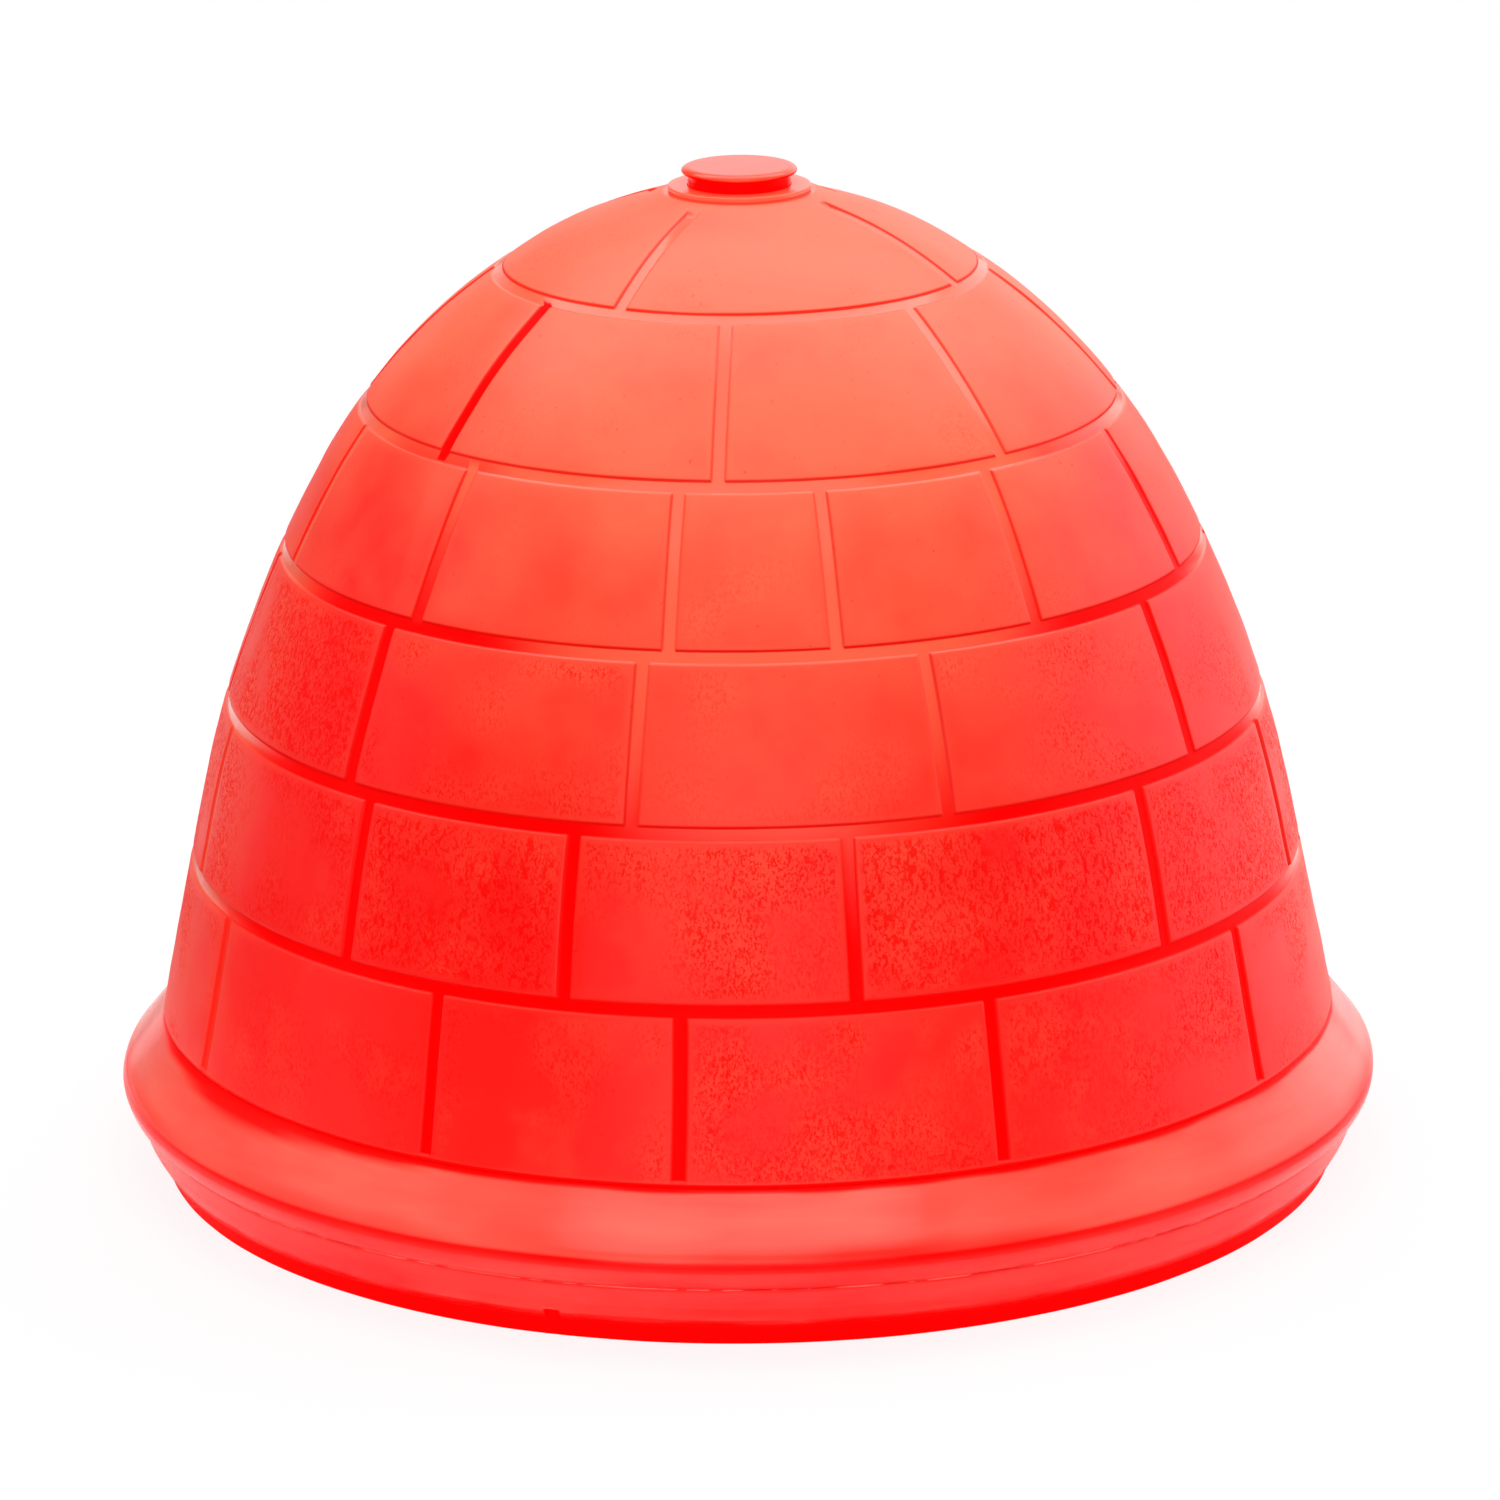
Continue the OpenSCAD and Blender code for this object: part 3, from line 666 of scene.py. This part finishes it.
flange.weave(outer_ids, around=True)
q = swing(inner[:, None, 0], az[None], inner[:, None, 1])
inner_ids = flange.add(q)
flange.weave(inner_ids, around=True)
flange.weave(np.stack([outer_ids[-1], inner_ids[0]]), around=True)


def inner_r(z):
    """Radius of the dome's inner face at height z."""
    return slope(s_at(z, INSIDE), INSIDE)[0]


def keep_radius(p, marks):
    """Slides points along the turned surface to the middle of the porch's wall: at their own
    radius below the spring, and on the dome's inner face above it."""
    x, z = to_arch(p[:, 0], p[:, 2], PORCH_WALL / 2)
    r = np.where(p[:, 2] > SPRING_Z, inner_r(z), np.hypot(p[:, 0], p[:, 1]))
    return np.stack([x, np.sqrt(np.maximum(r * r - x * x, 0.0)), z], axis=1), marks


p = np.concatenate(flange.points)
flange.cut(door_distance(p[:, 1] > 0, p[:, 0], p[:, 2]) - PORCH_WALL / 2, keep_radius)
dome.join(flange)
dome_skin = dome.build("dome_skin")

# ---------------------------------------------------------------- porch


def inner_y(x, z):
    """Depth of the dome's inner face behind a point of the doorway."""
    r = inner_r(z)
    return np.sqrt(np.maximum(r * r - x * x, 0.0))


def widened(grid):
    """A grid with four more columns in its first gap and in its last, which keeps long faces
    even."""
    t = np.linspace(0, 1, 6)[1:-1]
    first, last = [a[:, None] + (b - a)[:, None] * t
                   for a, b in ((grid[:, 0], grid[:, 1]), (grid[:, -2], grid[:, -1]))]
    return np.concatenate([grid[:, :1], first, grid[:, 1:-1], last, grid[:, -1:]], axis=1)


porch = Skin()
lip_back = PORCH_FRONT - EDGE_T
section = eased([[0.0, 0.0], [0.0, PORCH_FRONT], [EDGE_W, PORCH_FRONT], [EDGE_W, lip_back],
                 [PORCH_WALL, lip_back], [PORCH_WALL, 0.0]],
                [0, 4.5, 4.5, 4.5, 3.0, 0], steps=6, closed=False)
leg = SPRING_Z - SEAM_Z
u = np.concatenate([np.linspace(-leg, 0, 24)[:-1], np.linspace(0, half_turn, 72),
                    np.linspace(half_turn, half_turn + leg, 24)[1:]])
uu, vv = np.meshgrid(u, section[:, 0], indexing="ij")
x, z = arch_point(uu, vv)
y = np.broadcast_to(section[:, 1][None], uu.shape).copy()
back = inner_y(x, z) - 0.3
for end in (0, -1):
    y[:, end] = back[:, end]
ids = porch.add(np.stack([widened(x), widened(y), widened(z)], axis=-1))
porch.weave(ids, around=True, flip=True)
porch.cap(ids[0], flip=True)
porch.cap(ids[-1])

# Jamb plates: close the hollow flange beside the doorway.
JAMB_BACK = 480.0
zs = np.linspace(SEAM_Z, foot[1] + 1.0, 26)
order = np.argsort(outer[:, 1])
r_out = np.interp(zs, outer[order, 1], outer[order, 0])
for side in (-1, 1):
    faces = []
    for n in (-0.2, PORCH_WALL):
        x = side * (HALF_DOOR + n)
        y0 = np.full(len(zs), JAMB_BACK)
        y1 = np.sqrt(r_out ** 2 - x * x) - (0.0 if n < 0 else 0.6)
        w = np.linspace(0, 1, 5)
        faces.append(np.stack([np.full((len(zs), 5), x), y0[:, None] + (y1 - y0)[:, None] * w,
                               np.broadcast_to(zs[:, None], (len(zs), 5))], axis=-1))
    ids = porch.add(np.concatenate([faces[0], faces[1][:, ::-1]], axis=1))
    porch.weave(ids, around=True, flip=side < 0)
    porch.cap(ids[0], flip=side > 0)
    porch.cap(ids[-1], flip=side < 0)
porch_skin = porch.build("porch_skin")

# ---------------------------------------------------------------- base tray

tray = Skin()
BASE_R = SEAM_R - 0.8
LIP_R, FOOT_R = BASE_R - 13.0, BASE_R - 23.0
SPIGOT_R = RIM_IN_R - 0.7
DECK_R = SPIGOT_R - WALL - 16.0
FLOOR_R = DECK_R - 8.0
HUB_R, WELL_R, DRAIN_R = 30.0, 22.3, 14.0
pitch = (FLOOR_R - HUB_R) / 6
ridges = []
for n in range(1, 6):
    r = HUB_R + n * pitch
    ridges += [[r - 5, FLOOR_Z], [r - 4.2, FLOOR_Z + 1.5], [r - 0.8, FLOOR_Z + 1.5], [r, FLOOR_Z]]
side_t = np.linspace(0, 1, 7)[1:]
run = np.array([13.0, SEAM_Z - 21.0])
out = np.array([run[1], -run[0]]) / np.linalg.norm(run)
wall_side = (np.array([BASE_R, SEAM_Z]) - side_t[:, None] * run
             + 10.0 * (side_t * (1 - side_t))[:, None] * out)
corners = np.array(
    [[DRAIN_R, FLOOR_Z - 4], [WELL_R, FLOOR_Z - 4], [WELL_R, FLOOR_Z]] + ridges
    + [[FLOOR_R, FLOOR_Z], [DECK_R, SEAM_Z], [SPIGOT_R - WALL, SEAM_Z],
       [SPIGOT_R - WALL, SEAM_Z + 14], [SPIGOT_R, SEAM_Z + 14], [SPIGOT_R, SEAM_Z],
       [BASE_R, SEAM_Z]] + wall_side.tolist()
    + [[LIP_R - 1.5, 18.0], [FOOT_R + 1, 17.0], [FOOT_R, 0.0], [FOOT_R - WALL, 0.0],
       [FOOT_R - WALL, 21.0], [LIP_R - WALL, 31.0], [BASE_R - WALL - 1, SEAM_Z - WALL],
       [DECK_R + 2, SEAM_Z - WALL], [FLOOR_R + 2, FLOOR_Z - WALL], [HUB_R, FLOOR_Z - WALL],
       [HUB_R, 21.0], [DRAIN_R, 21.0]])
profile = eased(corners, 1.6, steps=4)
NOTCH_R = 520.0                                 # radius at which the notches are measured
NOTCH_SIDE = np.array([6.2, 6.5, 6.8, 7.4])     # columns of points at a notch's side
NOTCH_CLEAR = 8.0                               # how near to its middle no other column comes
NOTCH_TOP = 27.0


def notch_distance(az):
    """How far round the tray an azimuth is from the nearest notch's middle."""
    return np.min([np.abs(az - np.radians(a)) for a in NOTCHES], axis=0) * NOTCH_R


at_notch = [np.radians(a) + np.concatenate([-NOTCH_SIDE[::-1], NOTCH_SIDE]) / NOTCH_R
            for a in NOTCHES]
az = all_round(COLUMNS)
az = np.sort(np.concatenate([az[notch_distance(az) > NOTCH_CLEAR]] + at_notch))
r = np.broadcast_to(profile[:, :1], (len(profile), len(az))).copy()
z = np.broadcast_to(profile[:, 1:], r.shape).copy()
p = swing(r, az[None], z)
# The spigot stops beside the doorway.
SPIGOT_STOP = 182.5         # how far from the middle of the doorway it begins to rise
beside = np.where(p[..., 1] > 0, np.abs(p[..., 0]), NO_DOOR)
drop = np.clip((beside - SPIGOT_STOP) / 10.0, 0.0, 1.0)
on_spigot = (z > SEAM_Z + 0.01) & (r > 500)
z = np.where(on_spigot, SEAM_Z + (z - SEAM_Z) * drop, z)
# Weep notches are pressed into the lip and the foot band.
depth = np.interp(notch_distance(az), NOTCH_SIDE[[0, 2]], [1.0, 0.0])[None]
outside = (np.arange(len(profile))[:, None] > len(profile) * 0.3) & (z < NOTCH_TOP) & (r > FOOT_R + 4)
outer_side = outside & (r > LIP_R - 3.0)
r = np.where(outer_side, r + (FOOT_R + 3.5 - r) * depth, r)
worn = np.clip((r - FLOOR_R) / 20.0, 0, 1) * (0.35 * waves(p, 260.0, 31) + 0.2 * waves(p, 70.0, 32))
r = r + worn - 0.25 * (r > BASE_R - 4) * (z < SEAM_Z - 0.5)
marks = np.broadcast_to(PLAIN, r.shape + (len(MARKS),)).copy()
# Inside the spigot the tray gets a low lift, which paints it deep red: painted shade.
marks[..., LIFT] = np.where(r < SPIGOT_R + 1.0, 0.18, math.nan)
# The tray's outer wall above the foot band is marked as part of the flange, so that it takes the
# flange's painted light.
marks[..., TONE] = np.where((r > LIP_R - 1.0) & (z > 20.0) & (z < SEAM_Z + 1.0), -1.0, 0.0)
# The foot band is deep red up to an uneven edge, and so are the notches: painted shade.
low_edge = 24.5 + 2.5 * waves(p, 70.0, 33) + 1.2 * waves(p, 18.0, 34)
deep_share = np.clip((low_edge - z) / 4.0, depth * (z < NOTCH_TOP), 1.0)
marks[..., INSET] = -deep_share * (r > FOOT_R - 1.0)
ids = tray.add(swing(r, az[None], z), marks)
tray.weave(ids, around=True, down=True)

# Sill between the jambs.
sill = eased([[509.6, 53.5], [SPIGOT_R - WALL, 64.0], [OUTER_R - 4, 64.0], [OUTER_R, 60.0],
              [OUTER_R, 56.0], [OUTER_R - 4, 52.0], [BASE_R - 2.5, 48.0]],
             [1.5, 1.5, 3, 3, 3, 3, 1.5], steps=4)
w = np.linspace(-1, 1, 41)
r = sill[:, None, 0]
x = np.broadcast_to(w[None] * (HALF_DOOR - 1.0), (len(sill), len(w)))
p = np.stack([x, np.sqrt(r * r - x * x), np.broadcast_to(sill[:, 1:], x.shape)], axis=-1)
ids = tray.add(p)
tray.weave(ids, down=True, flip=True)
tray.cap(ids[:, 0], flip=True)
tray.cap(ids[:, -1])

# Crossed ribs under the floor.
RIB_IN, RIB_OUT, RIB_LOW, RIB_HIGH = 150.0, 154.0, 3.0, 37.0
rib_l = math.sqrt((FOOT_R - 2.5) ** 2 - RIB_OUT ** 2)
rect = eased([[RIB_IN, RIB_HIGH], [RIB_OUT, RIB_HIGH], [RIB_OUT, RIB_LOW], [RIB_IN, RIB_LOW]],
             1.0)
along = np.linspace(-rib_l, rib_l, 9)
x = np.broadcast_to(rect[:, :1], (len(rect), len(along)))
y = np.broadcast_to(along[None], x.shape)
z = np.broadcast_to(rect[:, 1:], x.shape)
for cosine, sine in ((1, 0), (0, 1), (-1, 0), (0, -1)):
    ids = tray.add(np.stack([cosine * x - sine * y, sine * x + cosine * y, z], axis=-1))
    tray.weave(ids, down=True, flip=True)
    tray.cap(ids[:, 0], flip=True)
    tray.cap(ids[:, -1])
tray_skin = tray.build("tray_skin")

# ---------------------------------------------------------------- vent skins

COLLAR_Z = SEAT_Z + 1.5
COLLAR_TOP = COLLAR_Z + 3.8
BORE_R, SLEEVE_R, SLEEVE_END = 44.2, 47.7, SEAT_Z - 38.0
collar = Skin()
collar_profile = eased(
    [[BORE_R, COLLAR_TOP], [61.0, COLLAR_TOP], [61.0, COLLAR_Z], [SLEEVE_R, COLLAR_Z],
     [SLEEVE_R, SLEEVE_END], [BORE_R - 4.3, SLEEVE_END], [BORE_R - 4.3, SLEEVE_END + 3],
     [BORE_R, SLEEVE_END + 3]], [0.8, 1.3, 0.6, 0.4, 0.8, 0.6, 0.6, 0.4], steps=6)
# A lift of 0.9 all over paints the collar pale, its sides too: painted light.
turned(collar_profile, 128, collar, mark=(0.0, 0.0, 0.0, 0.0, 0.9))
collar_skin = collar.build("collar_skin")

pieces = {dome_skin: "dome", porch_skin: "dome", tray_skin: "base", collar_skin: "dome"}
for piece, body in pieces.items():
    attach(piece, body)
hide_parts("dome_shell")
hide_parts("base_tray")
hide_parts("vent_collar")

# ---------------------------------------------------------------- materials


class Sock:
    """A socket or number that takes part in arithmetic and becomes math nodes."""

    def __init__(self, maker, out):
        self.maker, self.out = maker, out

    def _op(self, kind, *others, clamp=False):
        return self.maker.node("ShaderNodeMath", dict(operation=kind, use_clamp=clamp),
                               {n: v for n, v in enumerate((self,) + others)})

    def __add__(self, o): return self._op("ADD", o)
    def __radd__(self, o): return self._op("ADD", o)
    def __sub__(self, o): return self._op("SUBTRACT", o)
    def __rsub__(self, o): return (self * -1.0) + o
    def __mul__(self, o): return self._op("MULTIPLY", o)
    def __truediv__(self, o): return self._op("DIVIDE", o)
    def clip(self): return self._op("ADD", 0.0, clamp=True)
    def smaller(self, o): return self._op("MINIMUM", o)
    def larger(self, o): return self._op("MAXIMUM", o)

    def span(self, low, high):
        """0 at low and 1 at high, smooth between."""
        return self.maker.node("ShaderNodeMapRange", dict(interpolation_type="SMOOTHSTEP"),
                               {"Value": self, "From Min": low, "From Max": high})


class Maker:
    """Makes the nodes of a material or a world, its owner. place is the coordinates that the
    nodes read."""

    def __init__(self, owner, place="Object"):
        self.owner = owner
        owner.use_nodes = True
        self.tree = owner.node_tree
        self.tree.nodes.clear()
        self.place = self.node("ShaderNodeTexCoord", {}, {}, place)

    def node(self, kind, settings, inputs, output=0):
        made = self.tree.nodes.new(kind)
        for key, value in settings.items():
            setattr(made, key, value)
        for key, value in inputs.items():
            if isinstance(value, Sock):
                self.tree.links.new(value.out, made.inputs[key])
            else:
                made.inputs[key].default_value = value
        return Sock(self, made.outputs[output]) if len(made.outputs) else None

    def noise(self, size, detail=2.0, rough=0.5, stretch=(1, 1, 1), warp=0.0):
        """Noise whose marks are about size metres across, 0 to 1."""
        where = self.node("ShaderNodeMapping", {}, {"Vector": self.place, "Scale": stretch})
        return self.node("ShaderNodeTexNoise", {}, {
            "Vector": where, "Scale": 1.0 / size, "Detail": detail, "Roughness": rough,
            "Distortion": warp})

    def mark(self, name):
        return self.node("ShaderNodeAttribute", dict(attribute_name=name), {}, "Fac")

    def facing(self):
        """How far a point lies towards the front and a touch to its right, -1 to 1, seen from
        the axis."""
        flat = self.node("ShaderNodeVectorMath", dict(operation="MULTIPLY"),
                         {0: self.place, 1: (1.0, 1.0, 0.0)})
        out = self.node("ShaderNodeVectorMath", dict(operation="NORMALIZE"), {0: flat})
        return self.node("ShaderNodeVectorMath", dict(operation="DOT_PRODUCT"),
                         {0: out, 1: (0.08, -0.997, 0.0)}, "Value")

    def height(self):
        return self.node("ShaderNodeSeparateXYZ", {}, {"Vector": self.place}, "Z")

    def mix(self, share, a, b):
        """Mixes two colours. The numbers are those of the node's colour sockets, which share
        their names with other kinds."""
        return self.node("ShaderNodeMix", dict(data_type="RGBA"), {0: share, 6: a, 7: b}, 2)

    def bump(self, height, distance, strength=1.0, under=None):
        inputs = {"Height": height, "Distance": distance, "Strength": strength}
        if under:
            inputs["Normal"] = under
        return self.node("ShaderNodeBump", {}, inputs)

    def principled(self, **inputs):
        return self.node("ShaderNodeBsdfPrincipled", {}, {
            key.replace("_", " "): value for key, value in inputs.items()})

    def blend(self, share, a, b):
        return self.node("ShaderNodeMixShader", {}, {0: share, 1: a, 2: b})

    def finish(self, shader):
        self.node("ShaderNodeOutputMaterial", {}, {"Surface": shader})


def red(g, b, r=1.0):
    return (r, g, b, 1.0)


def shell_material(name, lift=None, pale=(0.130, 0.062)):
    """Red polyethylene: glossy in the grooves and on the flange, dull and finely pitted on the block
    faces. Light and shade are painted into its colour: paler towards the sky and at the sides seen
    from the front, darker away from the front, deep red where it faces down and in marked bands,
    darker in the pits, and darker in the creases under the blocks. lift makes the share of the sky
    that a surface faces where the mesh doesn't carry it."""
    m = Maker(bpy.data.materials.new(name))
    inset, tone, block, crease = (m.mark(n) for n in ("inset", "tone", "block", "crease"))
    sky = lift(m) if lift else m.mark("lift")
    face = inset.span(0.5, 8.0)
    flange, dark, light = (tone * -1.0).clip(), (inset * -1.0).clip(), (crease * -1.0).clip()
    # The further a point is turned from the front, the darker it is painted, and near the sides seen
    # from the front, limb paints a paler sheen.
    turned_off = (1.0 - m.facing()) * (1.0 - flange)
    limb = turned_off.span(0.50, 0.82) * (1.0 - turned_off.span(1.0, 1.3))
    cloud = m.noise(0.07, 3.0, 0.55)
    patch = m.noise(0.13, 1.0, 0.5)
    specks = m.noise(0.0024, 4.0, 0.7, stretch=(1.0, 1.0, 0.6))
    worms = m.noise(0.0048, 3.0, 0.7, stretch=(1.0, 1.0, 0.5), warp=0.3)
    dots = m.noise(0.0045, 1.0, 0.5).span(0.75, 0.79) * 0.5
    dense = ((patch - 0.5) * 4.5 + (cloud - 0.5) * 4.0 + tone * 1.1 - 0.4).clip()
    coarse = (m.noise(0.0052, 3.0, 0.65, stretch=(1.0, 1.0, 0.55), warp=0.3).span(0.53, 0.60)
              * ((tone - 0.7) * 1.4).clip())
    pits = ((specks.span(0.49, 0.58) * 0.9).larger(worms.span(0.58, 0.66)).larger(coarse) * dense
            * (tone * 1.1 + 0.1).clip() * face).larger(dots)
    shift = (cloud - 0.5) * 1.3 + dense * tone.smaller(1.0) * 0.02
    # fade and fade_low are painted light: how pale the red is, from the sky a surface faces, its turn
    # from the front, the painted edge highlights and the painted sheen at the sides, with random
    # clouds of tone.
    fade = ((sky - turned_off.smaller(0.5) * 0.45).span(0.11, 0.70) + shift * face * 0.6
            + light * 0.13 + limb * 0.28).clip()
    low = (sky - turned_off.smaller(0.3)).larger(flange * 0.255 - 1.0 + flange)
    streak = m.noise(0.10, 3.0, 0.55, stretch=(0.4, 0.4, 3.0))
    blotch = ((streak - 0.5) * 1.6 + (patch - 0.5) * 0.9) * flange
    fade_low = (low.span(0.20, 0.42) * (1.0 - flange * 0.30) + (shift * 0.2 + blotch) * sky
                + limb * sky.span(0.0, 0.2)).clip()
    uneven = m.bump(m.noise(0.03, 3.0, 0.5), 0.0006, 0.5)
    grainy = m.bump(specks * 0.4 * face + pits * -0.6, 0.0005, 0.5, uneven)
    dull = m.principled(Base_Color=m.mix(fade, red(0.005, 0.002), red(0.125, 0.052)),
                        Roughness=(0.44 + (cloud - 0.5) * 0.15).clip(), IOR=1.5, Normal=grainy)
    # hollow: the darker red of the pits, painted shade in them, also paler towards the sky by the
    # painted light.
    hollow = m.principled(Base_Color=m.mix(fade, red(0.0015, 0.001, 0.95),
                                           red(0.025, 0.008, 0.96)),
                          Roughness=0.8, IOR=1.5, Specular_IOR_Level=0.06)
    top = m.mix(flange, red(*pale), red(0.145, 0.100))
    glossy = m.principled(Base_Color=m.mix(fade_low, red(0.001, 0.001), top),
                          Roughness=(0.18 + (cloud - 0.5) * 0.12).clip(), IOR=1.5,
                          Normal=uneven)
    # deep: a pure deep red with almost no gloss, painted shade wherever it is used.
    deep = m.principled(Base_Color=red(0.0006, 0.0006), Roughness=0.3, IOR=1.5,
                        Specular_IOR_Level=0.02)
    shade = m.principled(Base_Color=red(0.002, 0.001, 0.88), Roughness=0.8, IOR=1.5,
                         Specular_IOR_Level=0.05)
    faces = m.blend(pits * 0.95, dull, hollow)
    # Surfaces that face down, except at the sides, get the deep red of painted shade in place of
    # gloss; so do the marked bands, and the creases get the shade material.
    steep = sky.span(-0.12, -0.04) * (1.0 - low.span(0.20, 0.32)) * (1.0 - limb)
    smooth = m.blend(steep, glossy, deep)
    whole = m.blend(dark, m.blend(block, smooth, faces), deep)
    m.finish(m.blend((crease * 0.95).clip(), whole, shade))
    return m.owner


def smooth_material(name, colour, rough):
    """An even plastic or rubber with a faint grain."""
    m = Maker(bpy.data.materials.new(name))
    grain = m.bump(m.noise(0.004, 3.0, 0.5), 0.00012, 0.5)
    m.finish(m.principled(Base_Color=colour, Roughness=rough, Normal=grain, IOR=1.45))
    return m.owner


CAP_EDGE = 0.004
CAP_MID = (COLLAR_TOP + 10.1) * MM


def cap_lift(m):
    """The cap's disc has a round edge, on which the height gives how far it faces up. Below it the
    neck gets none, which paints it deep red: painted shade.
    """
    return ((m.height() - CAP_MID) / CAP_EDGE).clip()


shell = shell_material("shell_plastic")
cap = shell_material("cap_plastic", cap_lift, (0.062, 0.022))
inner_red = smooth_material("inner_plastic", red(0.02, 0.01), 0.35)
rubber = smooth_material("rubber", (0.035, 0.03, 0.03, 1.0), 0.6)
washer = smooth_material("washer", red(0.06, 0.035, 0.85), 0.6)
for piece in (dome_skin, porch_skin, tray_skin, collar_skin):
    piece.data.materials.append(shell)
looks = {"collar_gasket": washer, "vent_nut": inner_red, "vent_cap": cap, "cap_seal": rubber,
         "drain_plug": rubber}
for node, look in looks.items():
    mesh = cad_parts[node].data
    mesh.materials.clear()
    mesh.materials.append(look)

# ---------------------------------------------------------------- floor, light and camera

bpy.ops.mesh.primitive_plane_add(size=60.0, location=(0, 0, 0))
floor = bpy.context.active_object
floor.name = "floor"
paper = Maker(bpy.data.materials.new("paper"))
glow = paper.node("ShaderNodeEmission", {}, {"Color": (1, 1, 1, 1), "Strength": 1.0})
seen = paper.node("ShaderNodeLightPath", {}, {}, "Is Camera Ray")
far = paper.node("ShaderNodeVectorMath", dict(operation="LENGTH"), {0: paper.place}, "Value")
# Away from the camera's eye the sheet ends just in front of the house, but not behind it.
side = paper.node("ShaderNodeVectorMath", dict(operation="DOT_PRODUCT"),
                  {0: paper.place, 1: (0.3, 0.95, 0.0)}, "Value")
sheet = seen.larger(1.0 - far.span(0.65, 1.2)).larger(side.span(0.1, 1.2))
white = paper.mix(sheet, (0.04, 0.04, 0.04, 1.0), (0.93, 0.93, 0.93, 1.0))
matt = paper.principled(Base_Color=white, Roughness=0.9, Specular_IOR_Level=0.0)
paper.finish(paper.blend(seen * (far.span(1.0, 3.0) * 0.14 + 0.86), matt, glow))
floor.data.materials.append(paper.owner)

world = bpy.data.worlds.new("studio")
bpy.context.scene.world = world
sky = Maker(world, "Generated")


def toward_way(x, y, z):
    """How far a direction of the room points that way, -1 to 1."""
    aim = np.array([x, y, z], float)
    aim /= np.linalg.norm(aim)
    return sky.node("ShaderNodeVectorMath", dict(operation="DOT_PRODUCT"),
                    {0: sky.place, 1: tuple(aim)}, "Value")


# The room is bright behind and a little to the right, and dark towards the camera.
to_camera = sky.node("ShaderNodeLightPath", {}, {}, "Is Camera Ray")
room = (toward_way(0.4, 0.92, 0.0).span(0.40, 1.0) * 1.03 + 0.02
        + toward_way(0.6, 0.74, 0.3).span(0.75, 1.0) * 0.3)
level = to_camera + (1.0 - to_camera) * room
lit = sky.node("ShaderNodeBackground", {}, {"Color": (1, 1, 1, 1), "Strength": level})
sky.node("ShaderNodeOutputWorld", {}, {"Surface": lit})


def lamp(name, middle, size, radiance, aim=(0.0, 0.0, -1.0), mirrored=True):
    """A soft rectangle that shines towards aim, as bright as its radiance. One that isn't
    mirrored only fills the shadows."""
    data = bpy.data.lights.new(name, "AREA")
    data.shape, data.size, data.size_y = "RECTANGLE", size[0], size[1]
    data.energy = radiance * math.pi * size[0] * size[1]
    made = bpy.data.objects.new(name, data)
    made.matrix_world = (Matrix.Translation(middle)
                         @ Vector(aim).to_track_quat("-Z", "Y").to_matrix().to_4x4())
    made.visible_glossy = mirrored
    bpy.context.scene.collection.objects.link(made)


lamp("ceiling", (0.1, 1.2, 3.6), (6.4, 2.6), 2.6)
lamp("ceiling_front", (-0.1, -1.7, 3.6), (3.8, 3.2), 1.1)
FILL_SIZE = (7.0, 4.0)
lamp("fill_front", (0.0, -7.5, 2.0), FILL_SIZE, 5.0, (0.0, 1.0, -0.1), mirrored=False)
lamp("fill_left", (-6.0, 1.0, 2.0), FILL_SIZE, 2.3, (1.0, 0.0, -0.1), mirrored=False)
lamp("fill_right", (6.0, 1.0, 2.0), FILL_SIZE, 2.3, (-1.0, 0.0, -0.1), mirrored=False)

CAMERA_PLACE = (0.0, -5.7519, 2.0509)
SENSOR, LENS = 36.0, 165.28
camera_data = bpy.data.cameras.new("camera")
camera_data.sensor_width = SENSOR
camera_data.lens = LENS
camera = bpy.data.objects.new("camera", camera_data)
bpy.context.scene.collection.objects.link(camera)
pitch, yaw, roll = math.radians(16.4497), math.radians(0.0409), math.radians(-0.5873)
camera.matrix_world = (
    Matrix.Translation(CAMERA_PLACE) @ Matrix.Rotation(-yaw, 4, "Z")
    @ Matrix.Rotation(math.pi / 2 - pitch, 4, "X") @ Matrix.Rotation(roll, 4, "Z"))
bpy.context.scene.camera = camera
bpy.context.scene.view_settings.view_transform = "Standard"
